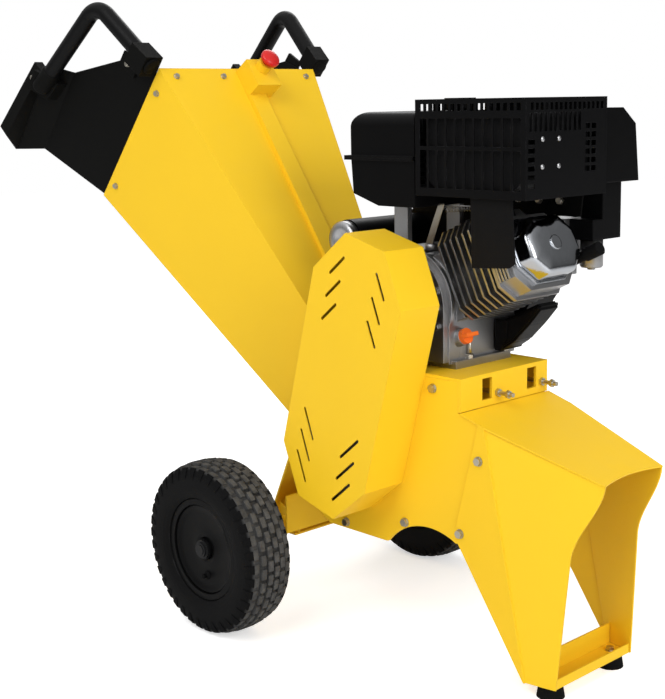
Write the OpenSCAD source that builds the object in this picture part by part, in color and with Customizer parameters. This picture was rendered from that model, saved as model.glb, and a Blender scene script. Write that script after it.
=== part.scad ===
// Petrol wood chipper: hopper and feed tray over a drum chamber, belt drive, engine on a deck, two wheels
// and a folded chute that stands on the ground. Millimetres, +Z up, +X towards the chute, -Y the belt side.
// The origin is on the ground under the wheel axle, midway between the wheels.

/* [Wheels] */
// Outer radius of the tyres
wheel_r = 165; // [150:1:180]
// Width of a tyre
tyre_w = 96; // [84:1:110]
// Distance between the wheels' middle planes
wheel_track = 581; // [550:1:640]
// Radius of the rim's barrel
rim_r = 90; // [82:1:100]
// Radius of the wheel hub
hub_r = 20; // [16:1:26]
// Radius of the axle
axle_r = 10; // [8:0.5:12]
// Tread lugs round one tyre
lug_count = 38; // [28:1:44]
// Depth of the tread
lug_h = 8; // [4:1:10]

/* [Chamber] */
// Distance of the drum axis ahead of the wheel axle
rotor_x = 225; // [210:1:240]
// Height of the drum axis
rotor_z = 369; // [360:1:380]
// Radius that the knife edges sweep
rotor_r = 125; // [115:1:130]
// Radius of the drum body
drum_r = 108; // [98:1:112]
// Length of the drum
drum_len = 200; // [180:1:210]
// Radius of the drum shaft
shaft_r = 17.5; // [14:0.5:20]
// Clear width between the side plates
plate_gap = 228; // [222:1:240]
// Thickness of the side plates
plate_t = 5; // [4:0.5:8]
// Gap between the knife edges and the chamber floor
floor_gap = 11; // [8:0.5:12]
// Thickness of the chamber floor
floor_t = 4; // [3:0.5:6]
// Height of the side plates' lower edge
plate_low_z = 197; // [185:1:205]

/* [Engine deck] */
// Height of the deck's top face
deck_z = 524; // [520:1:530]
// Thickness of the deck
deck_t = 6; // [4:0.5:8]
// Position of the deck's front face
deck_front_x = 461; // [455:1:470]
// Depth of the deck's front flange
deck_flange_h = 58; // [50:1:60]

/* [Hopper] */
// Slope of the feed axis above the ground
feed_tilt = 40.25; // [38:0.25:43]
// Length of the hopper along the feed axis
hopper_len = 637; // [560:1:700]
// Width of the hopper mouth
mouth_w = 410; // [380:1:430]
// Height of the hopper mouth
mouth_h = 337; // [310:1:350]
// Rise of the mouth's lower edge along the mouth
mouth_rise = 27; // [20:1:40]
// Width of the throat
throat_w = 180; // [170:1:190]
// Height of the throat
throat_h = 192; // [185:1:196]
// Sheet thickness of the hopper
hopper_t = 2.5; // [2:0.5:4]

/* [Feed tray] */
// Length of the tray's side panels
tray_len = 200; // [170:1:220]
// Length of the flared lip beyond the panels
lip_len = 47; // [35:1:55]
// Sideways flare of the side panels per millimetre
tray_flare = 0.15; // [0.1:0.01:0.2]
// Sideways flare of the lip per millimetre
lip_flare = 0.7; // [0.5:0.05:0.9]
// Drop of the tray's bottom plate over its length
tray_drop = 46; // [36:1:56]
// Drop of the lip's bottom edge
lip_drop = 40; // [30:1:45]
// Sheet thickness of the tray
tray_t = 3; // [2:0.5:4]

/* [Handles] */
// Radius of the handle tube
handle_r = 17; // [15:0.5:18]
// Bend radius of the handle's apex
handle_bend = 40; // [34:1:46]
// Height of the handle's apex above the tray's lower rim, along the mouth
handle_rise = 234; // [220:1:250]

/* [Belt drive] */
// Height of the crankshaft above the deck
crank_h = 108; // [106:1:112]
// Distance of the crankshaft ahead of the wheel axle
crank_x = 298; // [290:1:305]
// Radius of the crankshaft
crank_r = 12.7; // [11:0.1:14]
// Radius of the drum pulley
drum_pulley_r = 88; // [76:1:92]
// Radius of the clutch pulley
clutch_pulley_r = 60; // [50:1:66]
// Width of one belt
belt_w = 12.8; // [10:0.2:14]
// Depth of a belt
belt_h = 9; // [7:0.5:10]

/* [Belt cover] */
// Length of the cover
cover_len = 512; // [490:1:530]
// Width of the cover
cover_w = 220; // [216:1:240]
// Depth of the cover
cover_depth = 95.7; // [92:0.1:110]
// Corner cut across the cover's width
cover_cut_w = 62; // [50:1:66]
// Corner cut along the cover's length
cover_cut_l = 84; // [60:1:90]
// Sheet thickness of the cover
cover_t = 2.5; // [2:0.5:3]

/* [Chute] */
// Position of the outlet's upper edge
outlet_x = 731; // [715:1:745]
// Height of the outlet's upper edge
outlet_z = 384; // [370:1:395]
// Half width of the outlet's upper edge
outlet_half = 81; // [75:1:100]
// Position of the leg's front lower corner
foot_front_x = 659; // [645:1:670]
// Position of the leg's rear lower corner
foot_rear_x = 603; // [595:1:612]
// Height of the rubber feet
foot_h = 24; // [18:1:30]
// Sheet thickness of the chute
chute_t = 3; // [2:0.5:4]

/* [Fasteners] */
// Thread radius of the housing bolts
bolt_r = 4; // [3:0.5:5]

/* [Hidden] */
$fn = 48;

// Clearances: a running fit, a fixed fit and a gap between pieces that only pass each other
run_fit = 0.06;
seat_fit = 0.1;
pass_gap = 0.5;
past = 1;

yellow = "gold";
dark = [0.13, 0.13, 0.14];
black = [0.07, 0.07, 0.075];
alloy = [0.72, 0.72, 0.73];
zinc = [0.8, 0.78, 0.7];

// Chamber sizes
plate_in = plate_gap / 2;
plate_out = plate_in + plate_t;
floor_r = rotor_r + floor_gap;
floor_out_r = floor_r + floor_t;

// Feed frame: z along the feed axis from the drum outwards, x up along the mouth, y across
frame_z = 164;
frame_t = 4;
flange_t = 4;
throat_z = frame_z + frame_t + flange_t;
mouth_z = throat_z + hopper_len;
throat_low = -floor_out_r;
throat_top = throat_low + throat_h;
mouth_low = throat_low + mouth_rise;
mouth_top = mouth_low + mouth_h;
top_slope = (mouth_top - throat_top) / hopper_len;
low_slope = (mouth_low - throat_low) / hopper_len;
side_slope = (mouth_w - throat_w) / 2 / hopper_len;
top_angle = atan(top_slope);
side_angle = atan(side_slope);
function feed_point(z, x) =
  [rotor_x - z * cos(feed_tilt) + x * sin(feed_tilt), rotor_z + z * sin(feed_tilt) + x * cos(feed_tilt)];
module feed_frame() translate([rotor_x, 0, rotor_z]) rotate([0, feed_tilt - 90, 0]) children();

// Shared shapes
module xz(y_low, y_high)
  translate([0, y_high, 0]) rotate([90, 0, 0]) linear_extrude(y_high - y_low) children();
module both_sides() { children(); mirror([0, 1, 0]) children(); }
module rounded_rect(w, h, r) {
  square([w - 2 * r, h], center = true);
  square([w, h - 2 * r], center = true);
  for (sx = [-1, 1], sy = [-1, 1]) translate([sx * (w / 2 - r), sy * (h / 2 - r)]) circle(r);
}
// Round bar between two points, turned so that its seam keeps clear of the faces it meets
module rod(p, q, r) {
  v = q - p;
  translate(p) rotate([0, acos(v.z / norm(v)), atan2(v.y, v.x)]) rotate(37) cylinder(h = norm(v), r = r);
}
// Outline in y and z, drawn out along x from x_low to x_high
module yz(x_low, x_high)
  translate([x_low, 0, 0]) rotate([90, 0, 90]) linear_extrude(x_high - x_low) children();
far_out = 1000;
// Box that changes size along z: rows are [z, low x, high x, half width]
module frustum(a, b) intersection() {
  xz(-far_out, far_out) polygon([[a[1], a[0]], [a[2], a[0]], [b[2], b[0]], [b[1], b[0]]]);
  yz(-far_out, far_out) polygon([[-a[3], a[0]], [a[3], a[0]], [b[3], b[0]], [-b[3], b[0]]]);
}
// Hexagon bolt: head and washer above z = 0, shank of the stated length below, nut at its end if asked
module hex_bolt(r, shank, nut = true) {
  washer_t = 1.6;
  cylinder(h = washer_t, r = r * 2.1);
  translate([0, 0, washer_t]) cylinder(h = r * 1.3, r = r * 1.85, $fn = 6);
  translate([0, 0, -shank - (nut ? r * 2 : 0)]) cylinder(h = shank + (nut ? r * 2 : 0) + washer_t, r = r);
  if (nut) translate([0, 0, -shank - r * 1.6]) cylinder(h = r * 1.6, r = r * 1.85, $fn = 6);
}

// Hopper
hopper_bolt_r = 3;
hopper_bolt_z = mouth_z - 20;
wall_half = mouth_w / 2 - 20 * side_slope;
wall_top = mouth_top - 20 * top_slope;
side_bolt_x = [mouth_top - 47, mouth_low + 44];
top_bolt_y = [-172, -54, 172];
module at_hopper_bolts() feed_frame() {
  for (x = side_bolt_x, s = [0, 1]) mirror([0, s, 0])
    translate([x, -wall_half, hopper_bolt_z]) rotate([90 + side_angle, 0, 0]) children();
  for (y = top_bolt_y) translate([wall_top, y, hopper_bolt_z]) rotate([0, 90 + top_angle, 0]) children();
}
flange_lip = 3;
// Row for frustum() at distance z along the feed axis, inset from the hopper's outer faces
function hopper_row(z, inset) = let (d = z - throat_z) [z, throat_low + d * low_slope + inset,
  throat_top + d * top_slope - inset, throat_w / 2 + d * side_slope - inset];
module hopper() color(yellow) difference() {
  feed_frame() difference() {
    union() {
      frustum(hopper_row(throat_z - flange_t / 2, 0), hopper_row(mouth_z, 0));
      translate([throat_low - flange_lip, -throat_w / 2 - 10, throat_z - flange_t])
        cube([throat_h + 2 * flange_lip, throat_w + 20, flange_t]);
    }
    frustum(hopper_row(throat_z - flange_t - past, hopper_t), hopper_row(mouth_z + past, hopper_t));
  }
  at_hopper_bolts() translate([0, 0, -10]) cylinder(h = 20, r = hopper_bolt_r + seat_fit);
}

// Feed tray: a collar inside the mouth, two flared side panels, a bottom plate and a flared lip
collar_len = 40;
collar_half = mouth_w / 2 - hopper_t - 0.3 - tray_t;
collar_low = mouth_low + hopper_t + 0.3;
panel_end_half = collar_half + tray_flare * tray_len;
lip_end_half = panel_end_half + lip_flare * lip_len;
panel_end_low = collar_low - tray_drop;
lip_end_low = panel_end_low - lip_drop;
panel_end_top = mouth_top - 171;
lip_end_top = panel_end_top - 18;
panel_shoulder = [mouth_top - 51, 92];
// Side sheet on the -Y side: an outline of [x, distance from the mouth], flaring out from a half width
module side_sheet(outline, half, flare, from, t) intersection() {
  xz(-far_out, 0) polygon([for (p = outline) [p[0], mouth_z + p[1]]]);
  near = half + flare * (-100 - from);
  far = half + flare * (400 - from);
  yz(-far_out, far_out)
    polygon([[-near, mouth_z - 100], [-near - t, mouth_z - 100], [-far - t, mouth_z + 400],
      [-far, mouth_z + 400]]);
}
// Bottom sheet between two stations of [low x, half width, distance from the mouth]
module tray_floor(a, b) intersection() {
  xz(-far_out, far_out) polygon([[a[0], mouth_z + a[2]], [b[0], mouth_z + b[2]],
    [b[0] + tray_t, mouth_z + b[2]],
    [a[0] + tray_t, mouth_z + a[2]]]);
  yz(-far_out, far_out) polygon([[-a[1], mouth_z + a[2]], [-b[1], mouth_z + b[2]], [b[1], mouth_z + b[2]],
    [a[1], mouth_z + a[2]]]);
}
module inlet_tray() color(dark) difference() {
  feed_frame() {
    both_sides() {
      side_sheet([[collar_low - collar_len * low_slope, -collar_len],
                  [mouth_top - 14 - collar_len * top_slope, -collar_len], [mouth_top - 14, 0],
                    [collar_low, 0]],
        collar_half, side_slope, 0, tray_t);
      side_sheet([[collar_low, 0], [mouth_top - 14, 0], panel_shoulder, [panel_end_top, tray_len],
                  [panel_end_low, tray_len]], collar_half, tray_flare, 0, tray_t);
      side_sheet([[panel_end_low, tray_len], [panel_end_top, tray_len], [lip_end_top, tray_len + lip_len],
                  [lip_end_low, tray_len + lip_len]], panel_end_half, lip_flare, tray_len, tray_t);
    }
    tray_floor([collar_low - collar_len * low_slope, collar_half - collar_len * side_slope, -collar_len],
      [collar_low, collar_half, 0]);
    tray_floor([collar_low, collar_half + 1, 0], [panel_end_low, panel_end_half + 1, tray_len]);
    tray_floor([panel_end_low, panel_end_half + 1, tray_len], [lip_end_low, lip_end_half + 1,
      tray_len + lip_len]);
  }
  at_hopper_bolts() translate([0, 0, -10]) cylinder(h = 20, r = hopper_bolt_r + seat_fit);
}

// Handles: a bent tube on each side panel, plugged into a rim channel and a clamp at the mouth
rim_len = 30;
rim_chamfer = 41;
rim_out_low = 43;
rim_out_top = 16;
rim_top = lip_end_top - 15;
lip_end_d = tray_len + lip_len;
root_d = 30;
clamp_end = 4;
clamp_len = 50;
clamp_wall = 6;
clamp_rise = handle_r + clamp_wall;
ear_d = clamp_len + 44;
clamp_half = collar_half + tray_t + tray_flare * clamp_end + handle_r + 2;
handle_root = [lip_end_top - 45, -(panel_end_half + tray_t + lip_flare * root_d + handle_r * 1.26),
  mouth_z + tray_len + root_d];
handle_top = [lip_end_low + 196 + handle_rise, -(collar_half + tray_t + tray_flare * tray_len + handle_r),
  mouth_z + tray_len - 10];
handle_end = [mouth_top + 2, -clamp_half, mouth_z + clamp_end];
root_dir = (handle_top - handle_root) / norm(handle_top - handle_root);
end_dir = (handle_end - handle_top) / norm(handle_end - handle_top);
handle_turn = acos(root_dir * end_dir);
handle_tangent = handle_bend * tan(handle_turn / 2);
bend_axis = cross(root_dir, end_dir) / norm(cross(root_dir, end_dir));
bend_out = cross(root_dir, bend_axis);
bend_start = handle_top - root_dir * handle_tangent;
bend_centre = bend_start - bend_out * handle_bend;
// The bend is a little slimmer than the straight tubes and begins inside them
bend_inset = 0.2;
bend_lap = 2;
module handle_tube(r) {
  rod(handle_root, bend_start, r);
  rod(handle_top + end_dir * handle_tangent, handle_end, r);
  multmatrix([[bend_out.x, root_dir.x, bend_axis.x, bend_centre.x],
              [bend_out.y, root_dir.y, bend_axis.y, bend_centre.y],
              [bend_out.z, root_dir.z, bend_axis.z, bend_centre.z]])
    rotate(-bend_lap) rotate_extrude(angle = handle_turn + 2 * bend_lap)
      translate([handle_bend, 0]) circle(r - bend_inset);
}
module handle_left() color(black) feed_frame() handle_tube(handle_r);
module handle_right() color(black) mirror([0, 1, 0]) feed_frame() handle_tube(handle_r);
// Rim band on the lip's end, a half-round seat for the tube's root, and a clamp with an ear at the mouth
module handle_sockets() color(black) both_sides() feed_frame() difference() {
  union() {
    translate([0, 0, mouth_z + lip_end_d]) linear_extrude(rim_len)
      polygon([[lip_end_low, -lip_end_half + tray_t], [lip_end_low, -lip_end_half - 2 * tray_t],
        [lip_end_low + rim_chamfer, -lip_end_half - rim_out_low], [rim_top, -lip_end_half - rim_out_top],
        [rim_top, -lip_end_half + tray_t]]);
    side_sheet([[lip_end_top - 64, tray_len + 12], [rim_top - 1, tray_len + 4], [rim_top - 1, lip_end_d + 5],
        [lip_end_top - 64, lip_end_d + 5]], panel_end_half + tray_t, lip_flare, tray_len, handle_r + 6);
    side_sheet([[mouth_top - clamp_rise, 3], [mouth_top + clamp_rise, 3], [mouth_top + clamp_rise, clamp_len],
        [mouth_top - clamp_rise, clamp_len]], collar_half + tray_t, tray_flare, 0, 2 * handle_r + clamp_wall);
    side_sheet([[mouth_top - 62, clamp_len - 4], [mouth_top - 18, clamp_len - 4], [mouth_top - 30, ear_d],
        [mouth_top - 62, ear_d]], collar_half + tray_t, tray_flare, 0, clamp_wall);
  }
  rod(handle_root - root_dir * pass_gap, handle_root + root_dir * 120, handle_r + seat_fit);
  rod(handle_end + end_dir * clamp_len, handle_end - end_dir * 2 * clamp_len, handle_r + seat_fit);
}

// Emergency stop on the hopper's top wall: box, collar and button; x runs down the wall, z out of it
stop_z = mouth_z - 38;
stop_x = mouth_top - (mouth_z - stop_z) * top_slope;
stop_y = 17;
stop_box = [64, 62, 42];
stop_collar_r = 16;
stop_collar_h = 18;
stop_shift = -10;
stop_stem_r = 9;
stop_travel = 6;
module stop_frame() feed_frame() translate([stop_x, stop_y, stop_z]) rotate([0, 90 + top_angle, 0])
  children();
module stop_switch_box() color(yellow) stop_frame() difference() {
  union() {
    translate([-stop_box.x / 2, -stop_box.y / 2, 0]) cube(stop_box);
    translate([stop_shift, 0, 0]) cylinder(h = stop_box.z + stop_collar_h, r = stop_collar_r);
  }
  translate([stop_shift, 0, stop_box.z - 16]) cylinder(h = 60, r = stop_stem_r + run_fit);
}
stop_head_r = 20;
module stop_button() color("red") stop_frame() translate([stop_shift, 0, stop_box.z]) {
  translate([0, 0, -8]) cylinder(h = stop_collar_h + stop_travel + 12, r = stop_stem_r);
  translate([0, 0, stop_collar_h + stop_travel + 2]) {
    cylinder(h = 8, r = stop_head_r);
    translate([0, 0, 8]) cylinder(h = 6, r1 = stop_head_r, r2 = stop_head_r - 6);
  }
}
channel_w = 42;
channel_h = 10;
channel_len = 470;
module cable_channel() color(yellow) stop_frame() difference() {
  translate([stop_box.x / 2, -stop_box.y / 2, 0]) cube([channel_len, channel_w, channel_h]);
  translate([stop_box.x / 2 - past, -stop_box.y / 2 + 2, -past])
    cube([channel_len + 2 * past, channel_w - 4, channel_h - 2 + past]);
}

// Side plates, with an arch over the open space behind the chute leg
plate_arch = [389, plate_low_z - 85];
plate_arch_r = 134;
plate_back_x = 14;
plate_front_x = deck_front_x - deck_t;
deck_low_z = deck_z - deck_t;
flange_low_z = deck_low_z - deck_flange_h + deck_t;
chute_slope = (outlet_z - flange_low_z) / (outlet_x - deck_front_x);
function chute_top_z(x) = flange_low_z + (x - deck_front_x) * chute_slope - chute_t;
plate_tip_x = 520;
fold_x = deck_front_x + 52;
plate_fold_x = fold_x - 8;
throat_cut = throat_z;
function throat_plane_z(x) =
  rotor_z + throat_cut * sin(feed_tilt) + (x - rotor_x + throat_cut * cos(feed_tilt)) / tan(feed_tilt);
plate_back_top_x = rotor_x - throat_cut * cos(feed_tilt)
  + (deck_low_z - rotor_z - throat_cut * sin(feed_tilt)) * tan(feed_tilt);
housing_bolts_at = [[rotor_x - 49, plate_low_z + 12], [rotor_x + 104, plate_low_z + 46],
  [plate_front_x - 57, deck_low_z - 18]];
chute_bolts_at = [[plate_tip_x - 16, rotor_z + 21], [plate_tip_x - 58, plate_low_z + 56]];
module side_plate() difference() {
  xz(plate_in, plate_out) difference() {
    polygon([[plate_back_x, throat_plane_z(plate_back_x)], [plate_back_top_x, deck_low_z],
      [plate_front_x, deck_low_z], [plate_front_x, chute_top_z(plate_front_x) - pass_gap],
      [plate_fold_x, chute_top_z(plate_fold_x) - pass_gap], [plate_tip_x, rotor_z + 26],
      [plate_tip_x - 42, plate_low_z + 53], [plate_tip_x - 63, plate_low_z + 36],
      [plate_tip_x - 239, plate_low_z], [rotor_x - 95, plate_low_z], [rotor_x - 165, plate_low_z + 43],
      [plate_back_x, plate_low_z + 133]]);
    translate(plate_arch) circle(plate_arch_r);
    translate([rotor_x, rotor_z]) circle(shaft_r + 12);
    for (p = concat(housing_bolts_at, chute_bolts_at)) translate(p) circle(bolt_r + seat_fit);
  }
}
module side_plate_left() color(yellow) mirror([0, 1, 0]) side_plate();
module side_plate_right() color(yellow) side_plate();

// Chamber floor: a straight run from the throat, a trough under the drum, a ramp, and the throat frame
trough_end = 318;
ramp_end = [plate_tip_x - 76, plate_low_z + 67];
arc_steps = 18;
function trough_arc(r) = [for (k = [0:arc_steps])
  let (a = 270 - feed_tilt + k * (trough_end - 270 + feed_tilt) / arc_steps)
    [rotor_x + r * cos(a), rotor_z + r * sin(a)]];
function reversed(list) = [for (k = [len(list) - 1:-1:0]) list[k]];
module chamber_floor() color("goldenrod") {
  xz(-plate_in, plate_in) polygon(concat([feed_point(frame_z + frame_t / 2, -floor_out_r)],
    trough_arc(floor_out_r),
    [ramp_end - [0, floor_t], ramp_end], reversed(trough_arc(floor_r)),
      [feed_point(frame_z + frame_t / 2, -floor_r)]));
  feed_frame() difference() {
    translate([-floor_r - floor_t / 2, -plate_in + 1, frame_z])
      cube([throat_h - 5, plate_gap - 2, frame_t]);
    translate([-floor_r + 1, -throat_w / 2 + hopper_t, frame_z - past])
      cube([throat_h - floor_t - 13, throat_w - 2 * hopper_t, frame_t + 2 * past]);
  }
}
anvil_z = 45;
module anvil() color("dimgray") feed_frame()
  translate([-floor_r, -plate_in + 1, anvil_z]) cube([floor_r - rotor_r + 3, plate_gap - 2, 36]);

// Engine deck: top plate with a slotted front flange that carries the belt-tension bolts
engine_y = 14;
stud_x = 81;
stud_y = 52.5;
deck_back_x = plate_back_top_x + 14;
tension_y = [engine_y - 36, engine_y + 87];
tension_z = deck_z - 38;
slot_w = 26;
slot_h = 38;
module at_studs() for (sx = [-1, 1], sy = [-1, 1])
  translate([crank_x + sx * stud_x, engine_y + sy * stud_y, deck_z]) children();
module engine_deck() color(yellow) difference() {
  union() {
    translate([deck_back_x, -plate_out, deck_low_z])
      cube([deck_front_x - deck_back_x, 2 * plate_out, deck_t]);
    translate([plate_front_x, -plate_out, flange_low_z])
      cube([deck_t, 2 * plate_out, deck_low_z - flange_low_z + past]);
  }
  at_studs() translate([0, 0, -deck_t - past]) cylinder(h = deck_t + 2 * past, r = bolt_r + 0.5);
  for (y = tension_y) {
    translate([plate_front_x - past, y, tension_z]) rotate([0, 90, 0])
      cylinder(h = deck_t + 2 * past, r = bolt_r + seat_fit);
    translate([plate_front_x - past, y - 40, deck_z - slot_h - 8])
      cube([deck_t + 2 * past, slot_w, slot_h]);
  }
}
module tension_bolts() color(zinc) for (y = tension_y) translate([deck_front_x, y, tension_z])
  rotate([0, 90, 0]) {
  translate([0, 0, -deck_t - 30]) cylinder(h = deck_t + 66, r = bolt_r);
  cylinder(h = 6, r = bolt_r * 1.85, $fn = 6);
  translate([0, 0, 22]) cylinder(h = 6, r = bolt_r * 1.85, $fn = 6);
}
module engine_studs() color(zinc) at_studs() {
  translate([0, 0, -deck_t - 6]) cylinder(h = 6, r = bolt_r * 1.85, $fn = 6);
  translate([0, 0, -deck_t]) cylinder(h = deck_t + engine_foot_t + 22, r = bolt_r);
  translate([0, 0, engine_foot_t]) cylinder(h = 7, r = bolt_r * 1.85, $fn = 6);
}

// Belt cover: an eight-sided pan with four groups of vent slots
crank_z = deck_z + crank_h;
cover_angle = atan2(crank_x - rotor_x, crank_z - rotor_z);
drive_len = norm([crank_x - rotor_x, crank_z - rotor_z]);
drive_mid = [(rotor_x + crank_x) / 2 + 1, (rotor_z + crank_z) / 2 + 10];
module octagon(inset) {
  w = cover_w / 2 - inset;
  l = cover_len / 2 - inset;
  cw = cover_cut_w - inset * 0.5;
  cl = cover_cut_l - inset * 0.6;
  polygon([[-w + cw, l], [w - cw, l], [w, l - cl], [w, -l + cl], [w - cw, -l], [-w + cw, -l], [-w, -l + cl],
    [-w, l - cl]]);
}
vent_pitch = 43.3;
vent_w = 5.5;
module vent_group(at, angle, len) for (k = [0:2])
  translate([at.x, at.y - k * vent_pitch]) rotate(angle) rounded_rect(len, vent_w, vent_w / 2 - 0.01);
module cover_frame() translate([drive_mid.x, 0, drive_mid.y]) rotate([0, cover_angle, 0]) children();
module belt_cover() color(yellow) cover_frame() difference() {
  xz(-plate_out - cover_depth, -plate_out) octagon(0);
  xz(-plate_out - cover_depth + cover_t, -plate_out + past) octagon(cover_t);
  xz(-plate_out - cover_depth - past, -plate_out - cover_depth + cover_t + past) for (s = [-1, 1]) {
    vent_group([s * 54, cover_len / 2 - 61], -s * 54, 50);
    vent_group([s * 54, -cover_len / 2 + 145], s * 55, 62);
  }
}

// Belts run in the grooves of both pulleys
pulley_w = 46;
shaft_front_y = -plate_out - cover_depth + cover_t + 4;
hub_len = 12;
pulley_mid = shaft_front_y + 2 + hub_len + pulley_w / 2;
groove_pitch = 20;
groove_gap = 0.5;
module belt_path(inset) {
  r1 = drum_pulley_r - inset;
  r2 = clutch_pulley_r - inset;
  a = acos((r1 - r2) / drive_len);
  circle(r1);
  translate([0, drive_len]) circle(r2);
  polygon([[r1 * sin(a), r1 * cos(a)], [r2 * sin(a), drive_len + r2 * cos(a)],
    [-r2 * sin(a), drive_len + r2 * cos(a)], [-r1 * sin(a), r1 * cos(a)]]);
}
module drive_belts() color(black) translate([rotor_x, 0, rotor_z]) rotate([0, cover_angle, 0])
  for (s = [-0.5, 0.5]) xz(pulley_mid + s * groove_pitch - belt_w / 2,
    pulley_mid + s * groove_pitch + belt_w / 2)
    difference() { belt_path(0); belt_path(belt_h); }
// Pulley about its own axis along -Y, with two grooves and a hub in front
module grooved_pulley(r, bore, hub) translate([0, pulley_mid + pulley_w / 2, 0]) rotate([90, 0, 0])
  rotate_extrude()
  difference() {
    union() {
      translate([bore, 0]) square([r + 1.5 - bore, pulley_w]);
      translate([bore, pulley_w / 2]) square([hub - bore, pulley_w / 2 + hub_len]);
    }
    for (s = [-0.5, 0.5]) translate([r - belt_h - groove_gap,
      pulley_w / 2 + s * groove_pitch - belt_w / 2 - groove_gap])
      square([belt_h + 10, belt_w + 2 * groove_gap]);
  }

// Drum, knives, shaft and bearings
knife_angles = [20, 200];
knife_t = 10;
knife_in = 70;
module rotor_frame() translate([rotor_x, 0, rotor_z]) children();
module rotor_drum() color("slategray") rotor_frame() rotate([90, 0, 0]) difference() {
  cylinder(h = drum_len, r = drum_r, center = true);
  cylinder(h = drum_len + 2 * past, r = shaft_r + seat_fit / 2, center = true);
  for (a = knife_angles) rotate(a) translate([knife_in, 0, -drum_len / 2 - past])
    cube([drum_r, 34, drum_len + 2 * past]);
}
knife_reach = rotor_r - knife_in - 0.5;
module rotor_knives() color("lightsteelblue") rotor_frame() rotate([90, 0, 0])
  for (a = knife_angles) rotate(a) translate([knife_in, 0, -drum_len / 2 + 2]) linear_extrude(drum_len - 4)
    polygon([[0, 0], [knife_reach, 0], [knife_reach - knife_t, knife_t], [0, knife_t]]);
bearing_t = 20;
shaft_far_y = plate_out + bearing_t + 8;
module rotor_shaft() color(alloy) rotor_frame()
  rod([0, shaft_far_y, 0], [0, shaft_front_y, 0], shaft_r);
module rotor_bearings() color("dimgray") both_sides() rotor_frame() translate([0, plate_out + bearing_t, 0])
  rotate([90, 0, 0]) difference() {
    union() {
      linear_extrude(bearing_t) circle(38);
      translate([0, 0, bearing_t - 9]) linear_extrude(9) rounded_rect(112, 112, 22);
    }
    translate([0, 0, -past]) cylinder(h = bearing_t + 2 * past, r = shaft_r + run_fit);
  }
module rotor_pulley() color("dimgray") rotor_frame()
  grooved_pulley(drum_pulley_r, shaft_r + seat_fit / 2, shaft_r + 12);

// Axle bracket: a folded sheet under the chamber that cradles the axle tube
axle_z = wheel_r;
axle_tube_r = axle_r + 7;
bracket_t = 4;
wheel_y = wheel_track / 2;
axle_tube_half = wheel_y - tyre_w / 2 - 5;
bracket_back_x = -40;
bracket_low_z = axle_z - axle_tube_r - bracket_t + 0.5;
module axle_bracket() color("goldenrod") difference() {
  union() {
    xz(-plate_in, plate_in) polygon([[plate_back_x + 12, rotor_z - 24], [bracket_back_x, axle_z + 37],
      [bracket_back_x, bracket_low_z], [axle_tube_r + 5, bracket_low_z],
      [axle_tube_r + 5, bracket_low_z + bracket_t], [bracket_back_x + bracket_t, bracket_low_z + bracket_t],
      [bracket_back_x + bracket_t, axle_z + 36], [plate_back_x + 12 + bracket_t, rotor_z - 26]]);
    for (y = [-plate_in + 12, plate_in - 12]) xz(y - 2, y + 2) polygon([[bracket_back_x + 2, axle_z + 34],
      [bracket_back_x + 2, bracket_low_z + 2], [axle_tube_r + 4, bracket_low_z + 2],
        [axle_tube_r + 4, axle_z + 8]]);
    rod([0, -axle_tube_half, axle_z], [0, axle_tube_half, axle_z], axle_tube_r);
  }
  rod([0, -axle_tube_half - past, axle_z], [0, axle_tube_half + past, axle_z], axle_r + seat_fit);
}
axle_end = wheel_y + tyre_w / 2 - 3;
hub_in = tyre_w / 2 - 4;
hub_out = tyre_w / 2 - 12;
module axle() color(alloy) rod([0, -axle_end, axle_z], [0, axle_end, axle_z], axle_r);
module wheel_retainers() color(zinc) both_sides() translate([0, wheel_y + hub_out + 0.6, axle_z])
  rotate([-90, 0, 0])
  difference() {
    union() {
      cylinder(h = 2.5, r = axle_r * 1.8);
      translate([0, 0, 2.5]) cylinder(h = 4.5, r = axle_r + 4);
    }
    translate([0, 0, -past]) cylinder(h = 20, r = axle_r + seat_fit / 2);
  }

// Wheels: each is built about its own axis with +z towards its outer side
disc_t = 3.5;
module rim_body() difference() {
  rotate_extrude() {
    translate([axle_r + run_fit, -hub_in]) square([hub_r - axle_r - run_fit, hub_in + hub_out]);
    polygon([[hub_r - past, 6], [hub_r + 18, 8], [rim_r - 30, 20], [rim_r - 16, 20], [rim_r - 4, 4],
      [rim_r - 2, 4], [rim_r - 2, 4 + disc_t], [rim_r - 3, 4 + disc_t], [rim_r - 15, 20 + disc_t],
      [rim_r - 31, 20 + disc_t], [hub_r + 17, 8 + disc_t], [hub_r - past, 6 + disc_t]]);
    translate([rim_r - 4, -tyre_w / 2 + 10]) square([3.7, tyre_w - 20]);
    for (s = [-1, 1]) translate([rim_r - 4, s * (tyre_w / 2 - 10.5) - 1.5]) square([11, 3]);
  }
  for (k = [0:3]) rotate(k * 90 + 35) translate([rim_r - 23, 0, -past]) cylinder(h = 60, r = 5);
}
function tyre_half(r) = let (reach = (wheel_r - rim_r) / 2)
  tyre_w / 2 * pow(1 - pow(abs(r - rim_r - reach) / (reach + 8), 2.6), 0.4);
lug_rows = 6;
shoulder = 5;
groove_w = 4;
crown_drop = 6;
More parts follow.
